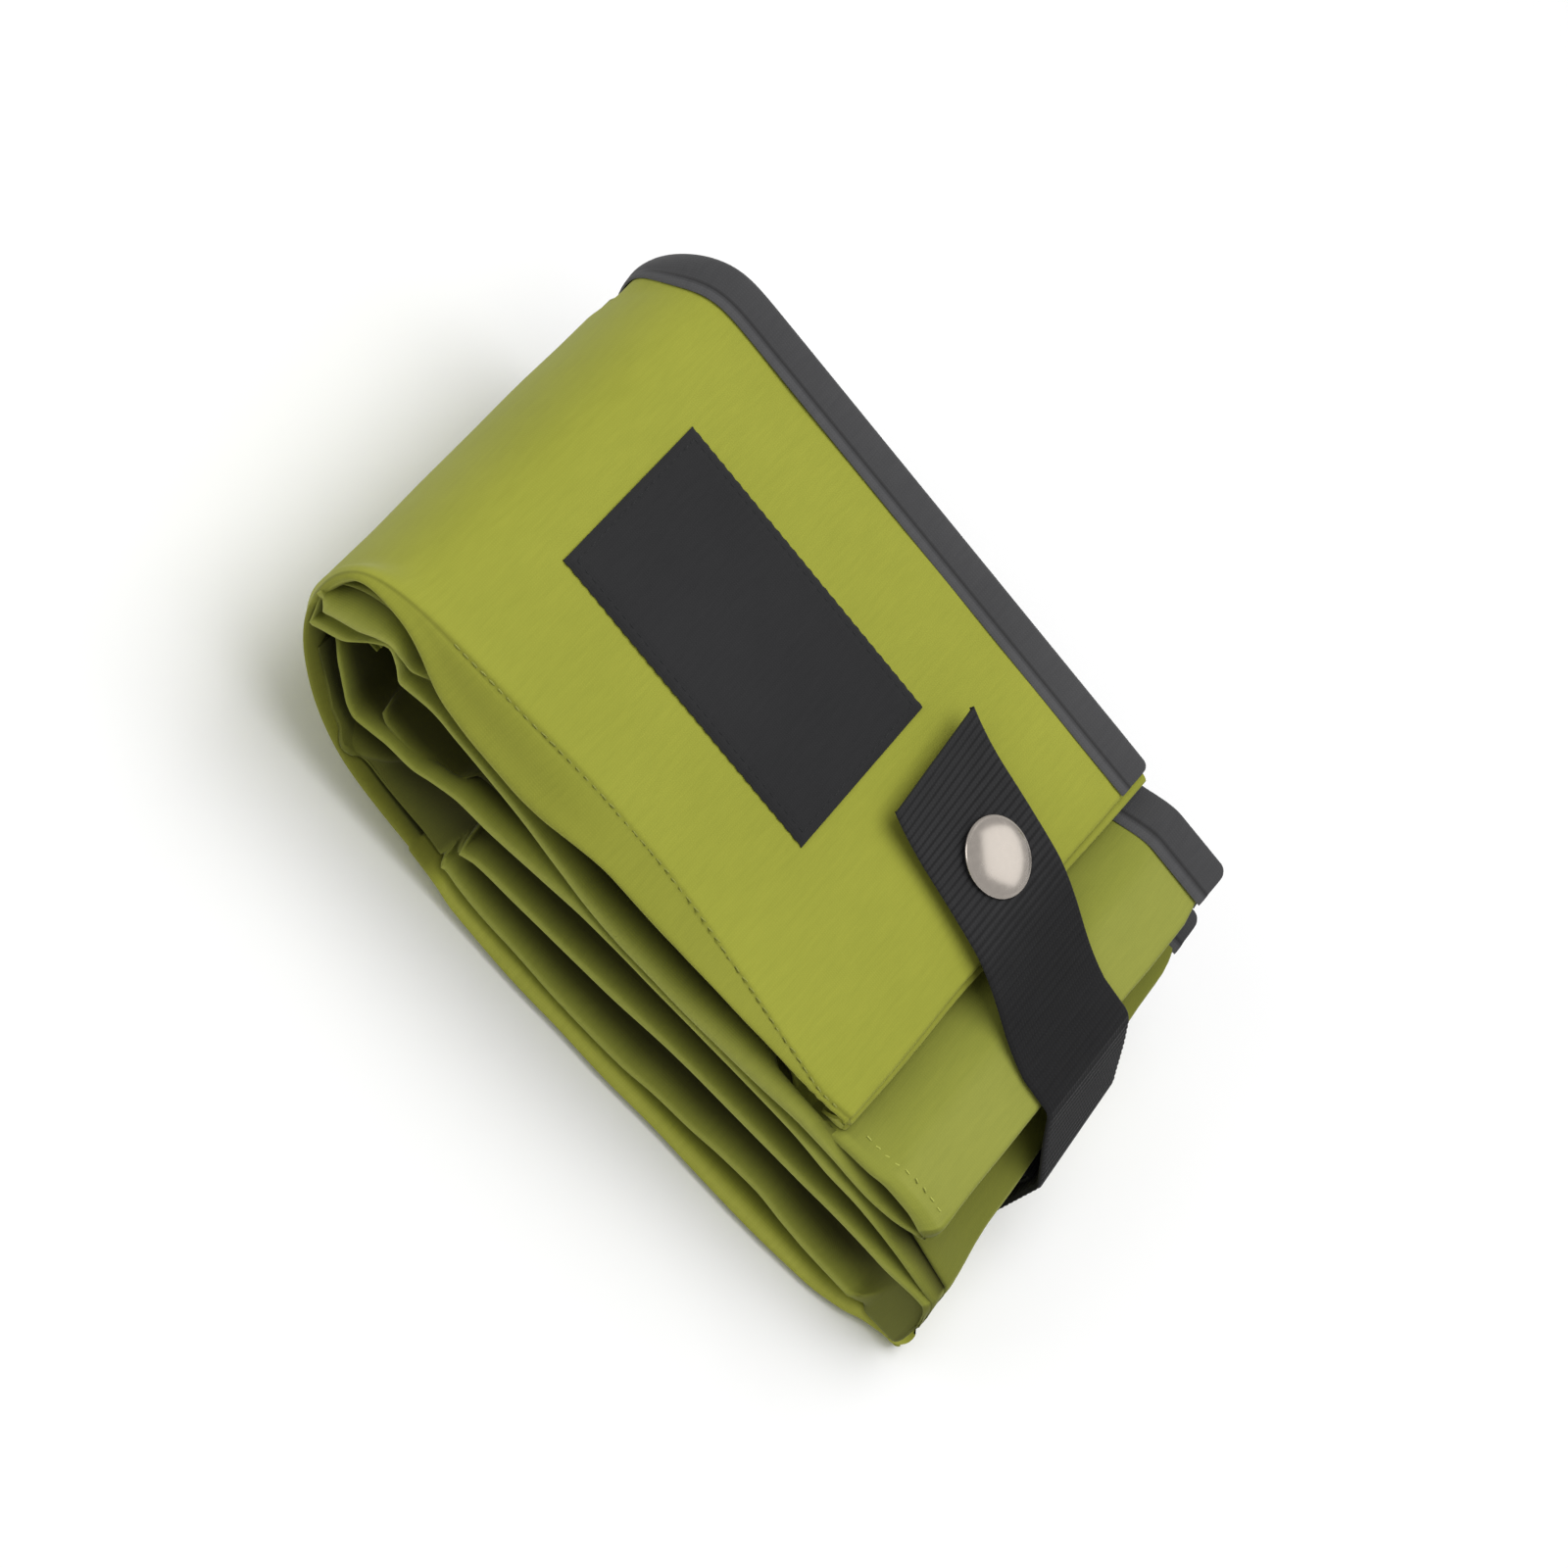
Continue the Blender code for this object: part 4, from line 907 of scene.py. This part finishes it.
def label():
    u = np.linspace(-LABEL_HALF_LENGTH, LABEL_HALF_LENGTH, 120)
    v = np.linspace(LABEL_HALF_WIDTH, -LABEL_HALF_WIDTH, 76)
    u, v = np.meshgrid(u, v, indexing="ij")
    edge = np.minimum(LABEL_HALF_LENGTH - np.abs(u), LABEL_HALF_WIDTH - np.abs(v))
    lift = 1.25 - 0.75 * bell(edge, 0, 0.9) - 0.28 * bell(edge, 2.2, 0.45)
    x, y = u + LABEL_X, v + LABEL_Y + 0.12 * np.sin(u * 2.3) * np.exp(-edge / 0.8)
    return cloth("label", np.stack([x, y, top(x, y) + lift], axis=2), PATCH, 0.5, flip=True)


LABEL = label()


# Stitches: short raised threads

STITCH_RINGS = ((-0.5, 0.45, -0.25), (-0.3, 0.95, 0.1), (0, 1, 0.25), (0.3, 0.95, 0.1), (0.5, 0.45, -0.25))
STITCH_SIDES = 6


def tube_faces(base, rings, sides):
    """Faces of a tube with closed ends, on rings of points from index base on."""
    faces = []
    for r in range(rings - 1):
        for k in range(sides):
            a, b = base + r * sides + k, base + r * sides + (k + 1) % sides
            faces.append((a, b, b + sides, a + sides))
    faces.append([base + k for k in range(sides - 1, -1, -1)])
    faces.append([base + (rings - 1) * sides + k for k in range(sides)])
    return faces


def stitches(name, places, material, length, radius, shade=0.4):
    """Threads at (centre, direction, normal) in millimetres, joined in one mesh."""
    verts, faces = [], []
    for centre, direction, normal in places:
        d, n = Vector(direction).normalized(), Vector(normal).normalized()
        side = d.cross(n).normalized()
        faces += tube_faces(len(verts), len(STITCH_RINGS), STITCH_SIDES)
        for share, fat, lift in STITCH_RINGS:
            for k in range(STITCH_SIDES):
                a = k / STITCH_SIDES * 2 * math.pi
                verts.append(Vector(centre) + d * share * length + n * (lift + math.sin(a) * fat) * radius
                             + side * math.cos(a) * fat * radius)
    verts = np.array(verts)
    uvs = np.stack([verts[:, 0] + verts[:, 2], verts[:, 1]], axis=1) * MM
    return new_piece(name, new_mesh(name, verts, faces, [shade] * len(verts), uvs), material)


def label_stitches():
    places = []
    for side in (-1, 1):
        for k in range(31):
            x, y = LABEL_X - 37.2 + k * 2.48, LABEL_Y + side * 21.8
            places.append(((x, y, top(x, y) + 1.02), (1, 0, -0.09), (0, 0, 1)))
        for k in range(18):
            x, y = LABEL_X + side * 37.8, LABEL_Y - 21 + k * 2.47
            places.append(((x, y, top(x, y) + 1.02), (0, 1, 0.1), (0, 0, 1)))
    return stitches("label_stitching", places, THREAD, 1.7, 0.17)


LABEL_THREAD = label_stitches()


def seam_stitches(name, grid, line, x_from, x_to, pitch, rows, shade):
    """Threads on the first rows of a sheet's grid, along a line of y over x."""
    places = []
    last = -math.inf
    for k in range(len(grid)):
        x = grid[k, LEVEL_COLUMN, 0]
        if not x_from < x < x_to or abs(x - last) < pitch:
            continue
        last = x
        here, ahead = grid[k, :rows][::-1], grid[k + 1, :rows][::-1]
        x_ahead = grid[k + 1, LEVEL_COLUMN, 0]
        y, y_ahead = line(x), line(x_ahead)
        z = np.interp(y, here[:, 1], here[:, 2])
        z_ahead = np.interp(y_ahead, ahead[:, 1], ahead[:, 2])
        places.append(((x, y, z + 0.1), (x_ahead - x, y_ahead - y, z_ahead - z), (0, 0, 1)))
    return stitches(name, places, GREEN_THREAD, pitch * 0.72, 0.2, shade)


TOP_THREAD = seam_stitches("top_seam_stitching", OUTER_GRID[HEM_COLUMNS + 1:HEM_COLUMNS + TOP_COLUMNS - 1],
                           lambda x: along(STITCH_Y, x), -78, 50, 2.4, 85, 0.6)
SHELF_THREAD = seam_stitches("shelf_seam_stitching", LEFT_GRID[:-len(RINGS) - 1],
                             lambda x: SHELF_STITCH_Y, 60, 83, 2.2, SHELF_ROWS, 0.9)


# Strap: a straight run past the upper hinge, a bend, a slope, a knee and the tail

HINGE_X, HINGE_Y = 79.5, 0.5
FIRST_RUN, BEND_RADIUS, KNEE_RADIUS = 7.5, 4.4, 3
TAIL_X, TAIL_FOOT = 101.55, 11.5
FREE_END = -64.5  # measured along the strap from the upper hinge
STRAP_HALF_WIDTH = 17
TILT, SKEW = 0.10972, -6 / 128  # how the pack's end rises, and runs in, towards the rim
STRAP_Y = ((12, 14.4), (36, 10.9), (50, 8.4), (62, 5.4), (71, 2.7), (79.5, 0.5))


def strap_lift(x):
    """Height of the strap's middle over the top's plane: on the snap, then down to the second layer."""
    rise = np.maximum(30 - x, 0) / 15
    return mix(3.46, -1.54, fade(x, 50, HINGE_X - 50)) + 2 * rise * rise


HINGE_Z = top(HINGE_X, HINGE_Y) + strap_lift(HINGE_X)
FALL = math.atan2(top(HINGE_X, HINGE_Y) - top(HINGE_X + 1, HINGE_Y), 1)
DROP = math.radians(55)
BEND = (DROP - FALL) * BEND_RADIUS
KNEE = (math.pi / 2 - DROP) * KNEE_RADIUS
SLOPE = (TAIL_X - HINGE_X - FIRST_RUN * math.cos(FALL) - BEND_RADIUS * (math.sin(DROP) - math.sin(FALL))
         - KNEE_RADIUS * (1 - math.sin(DROP))) / math.cos(DROP)
STRAP_HINGE = FIRST_RUN + BEND + 4
STRAP_KNEE = FIRST_RUN + BEND + SLOPE + KNEE


def strap_at(s):
    """(x, z, angle down) of the strap's middle at s past the upper hinge."""
    x, z, angle, left = HINGE_X, HINGE_Z, FALL, s
    for length, radius in ((FIRST_RUN, None), (BEND, BEND_RADIUS), (SLOPE, None), (KNEE, KNEE_RADIUS)):
        run = min(left, length)
        left -= run
        if radius is None:
            x += run * math.cos(angle)
            z -= run * math.sin(angle)
            continue
        turned = angle + run / radius
        x += radius * (math.sin(turned) - math.sin(angle))
        z -= radius * (math.cos(angle) - math.cos(turned))
        angle = turned
    return x + left * math.cos(angle), z - left * math.sin(angle), angle


STRAP_LENGTH = STRAP_KNEE + strap_at(STRAP_KNEE)[1] - TAIL_FOOT


def strap_point(s, width, height):
    """s from FREE_END, through 0 at the upper hinge, to the tail's end."""
    if s < 0:
        x = HINGE_X + s
        y = along(STRAP_Y, x) + width
        x -= 0.07 * width * (1 - fade(x, 15, 22))
        return x, y, top(x, y) + strap_lift(x) + height
    x, z, angle = strap_at(s)
    skew = SKEW * fade(s, STRAP_HINGE, STRAP_KNEE - STRAP_HINGE)
    y = mix(HINGE_Y, -4, s / STRAP_LENGTH) + width
    return x + height * math.sin(angle) + width * skew, y, z + height * math.cos(angle) + width * TILT


def strap(name, start, end):
    """Ribbed webbing with rounded edges, with painted highlights on its ribs."""
    edge = STRAP_HALF_WIDTH - np.array([0, 0.2, 0.7])
    widths = np.concatenate([-edge, np.linspace(-15.6, 15.6, 22), edge[::-1]])
    heights = np.array([0.25, 0.45, 0.58] + [0.6] * 22 + [0.58, 0.45, 0.25])
    grid, fold = [], []
    for s in np.linspace(start, end, int((end - start) / 0.28)):
        rib = abs(math.sin(math.pi * s / 1.7)) ** 0.7
        grid.append([strap_point(s, w, h - 0.1 + 0.24 * rib * (h > 0.5)) for w, h in zip(widths, heights)])
        # Painted highlights on the ribs and painted shade between them, strongest near the free end
        rib_highlight_share = 1 - fade(s, -36, 26)
        fold.append(np.full(len(widths), 0.62 + rib * mix(0.08, 0.42, rib_highlight_share)))
    return cloth(name, grid, WEB, 1.1, fold=np.array(fold))


STRAP_UPPER = strap("strap_flap_webbing", FREE_END, FIRST_RUN)
STRAP_LOWER = strap("strap_tail_webbing", FIRST_RUN, STRAP_LENGTH)


# Touch fastener patches


def patch(name, out):
    """A patch out from the pack's end, tilted as the strap's tail is."""
    y = np.linspace(-16, 8, 40)
    x = third_end(y) + out
    grid = [np.stack([x, y, z + (y + 4) * TILT], axis=1) for z in np.linspace(28, 13, 26)]
    return cloth(name, grid, WEB, 0.8)


LOOP = patch("loop_fastener", 0.32 + 0.9)
HOOK = patch("hook_fastener", 0.64 + 1.8)


# Snap cap, slightly tilted

CAP_PLACE, CAP_AXIS = (39.7, 11.4, 57.95), (0.17, -0.08, 0.98)
CAP_PROFILE = ((1.6, 4.3), (7.2, 4.35), (8.8, 4.2), (9.45, 4.45), (9.55, 4.95), (9.15, 5.35), (8.75, 5.45),
    (8.1, 5.85), (6.6, 6.5), (4.6, 7), (2.4, 7.3), (0.6, 7.4), (0, 7.4))


def snap_cap(steps=96):
    turn = Vector(CAP_AXIS).normalized().to_track_quat("Z", "Y").to_matrix()
    curve = spline(CAP_PROFILE)
    verts = []
    for r, h in curve:
        for k in range(steps):
            a = k / steps * 2 * math.pi
            offset = turn @ Vector((max(r, 0.01) * math.cos(a), max(r, 0.01) * math.sin(a), h))
            verts.append((Vector(CAP_PLACE) + offset) * MM)
    mesh = bpy.data.meshes.new("cap")
    mesh.from_pydata(verts, [], tube_faces(0, len(curve), steps))
    return new_piece("cap", mesh, NICKEL, 50)


CAP = snap_cap()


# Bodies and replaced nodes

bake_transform(OUTER)
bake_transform(OUTER_TAPE)
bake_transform(BACK_FOLD)
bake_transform(STRAP_UPPER)
tail_x, tail_z, tail_angle = strap_at(STRAP_HINGE)
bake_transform(STRAP_LOWER)
for piece in (LEFT_SLEEVE, WALL_LEFT, LABEL, LABEL_THREAD, TOP_THREAD, SHELF_THREAD):
    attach(piece, "left_half")
for piece in (RIGHT_SLEEVE, WALL_RIGHT, LOOP):
    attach(piece, "right_half")
for pieces, slot in ((BOARDS, "stiffener_board"), (TAPES, "binding_tape")):
    for name, piece in pieces.items():
        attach(piece, "left_half" if name.endswith("left") else "right_half")
        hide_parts(name)
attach(CAP, "strap_flap")
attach(HOOK, "strap_tail")

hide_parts("front_cover_left", "front_cover_right", "spine_cover", "corner_front_left",
            "corner_front_right", "spine_lining")
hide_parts("front_board_binding_left", "front_board_binding_right", "spine_binding")
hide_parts("end_wall_back_left", "floor_front_left", "floor_back_left", "back_cover_left",
            "corner_back_left")
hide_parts("end_wall_back_right", "floor_front_right", "floor_back_right", "back_cover_right",
            "corner_back_right")
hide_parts("end_wall_front_left")
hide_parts("end_wall_front_right")
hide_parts("back_wall_fold")
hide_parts("label_patch")
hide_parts("strap_flap", "strap_bend")
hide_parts("strap_tail")
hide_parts("loop_patch")
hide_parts("hook_patch")
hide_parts("snap_cap")

for name in ("snap_stud", "snap_washer", "snap_socket"):
    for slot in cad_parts[name].material_slots:
        slot.material = NICKEL


# Floor and lights

FLOOR_SIZE, FLOOR_Z = 6.0, -0.0005
LIGHTS = (
    # name, place, size, power, whether it lights, whether it shows in reflections
    ("key", (0.05, 0.12, 1.3), 1.4, 15.5, True, False),
    ("fill", (-0.9, -0.7, 0.8), 0.7, 2.4, True, True),
    ("panel", (0.52, 0.62, 0.93), 1.25, 2.9, False, True))


def stage():
    bpy.ops.mesh.primitive_plane_add(size=FLOOR_SIZE, location=(0.0, 0.0, FLOOR_Z))
    floor = bpy.context.active_object
    floor.name = "floor"
    material, tree, shader = new_material("pale_floor")
    set_inputs(tree, shader, {"Base Color": (0.93, 0.93, 0.93, 1.0), "Roughness": 0.9})
    floor.data.materials.append(material)
    world = bpy.data.worlds.new("studio")
    world.use_nodes = True
    background = world.node_tree.nodes["Background"]
    set_inputs(world.node_tree, background, {"Color": (1.0, 1.0, 1.0, 1.0), "Strength": 0.42})
    scene.world = world
    for name, place, size, power, lights, shows in LIGHTS:
        light = bpy.data.lights.new(name, "AREA")
        light.size = size
        light.energy = power
        lamp = link(bpy.data.objects.new(name, light))
        lamp.location = place
        lamp.visible_glossy = shows
        lamp.visible_diffuse = lights
        lamp.rotation_euler = (-Vector(place)).to_track_quat("-Z", "Y").to_euler()


stage()
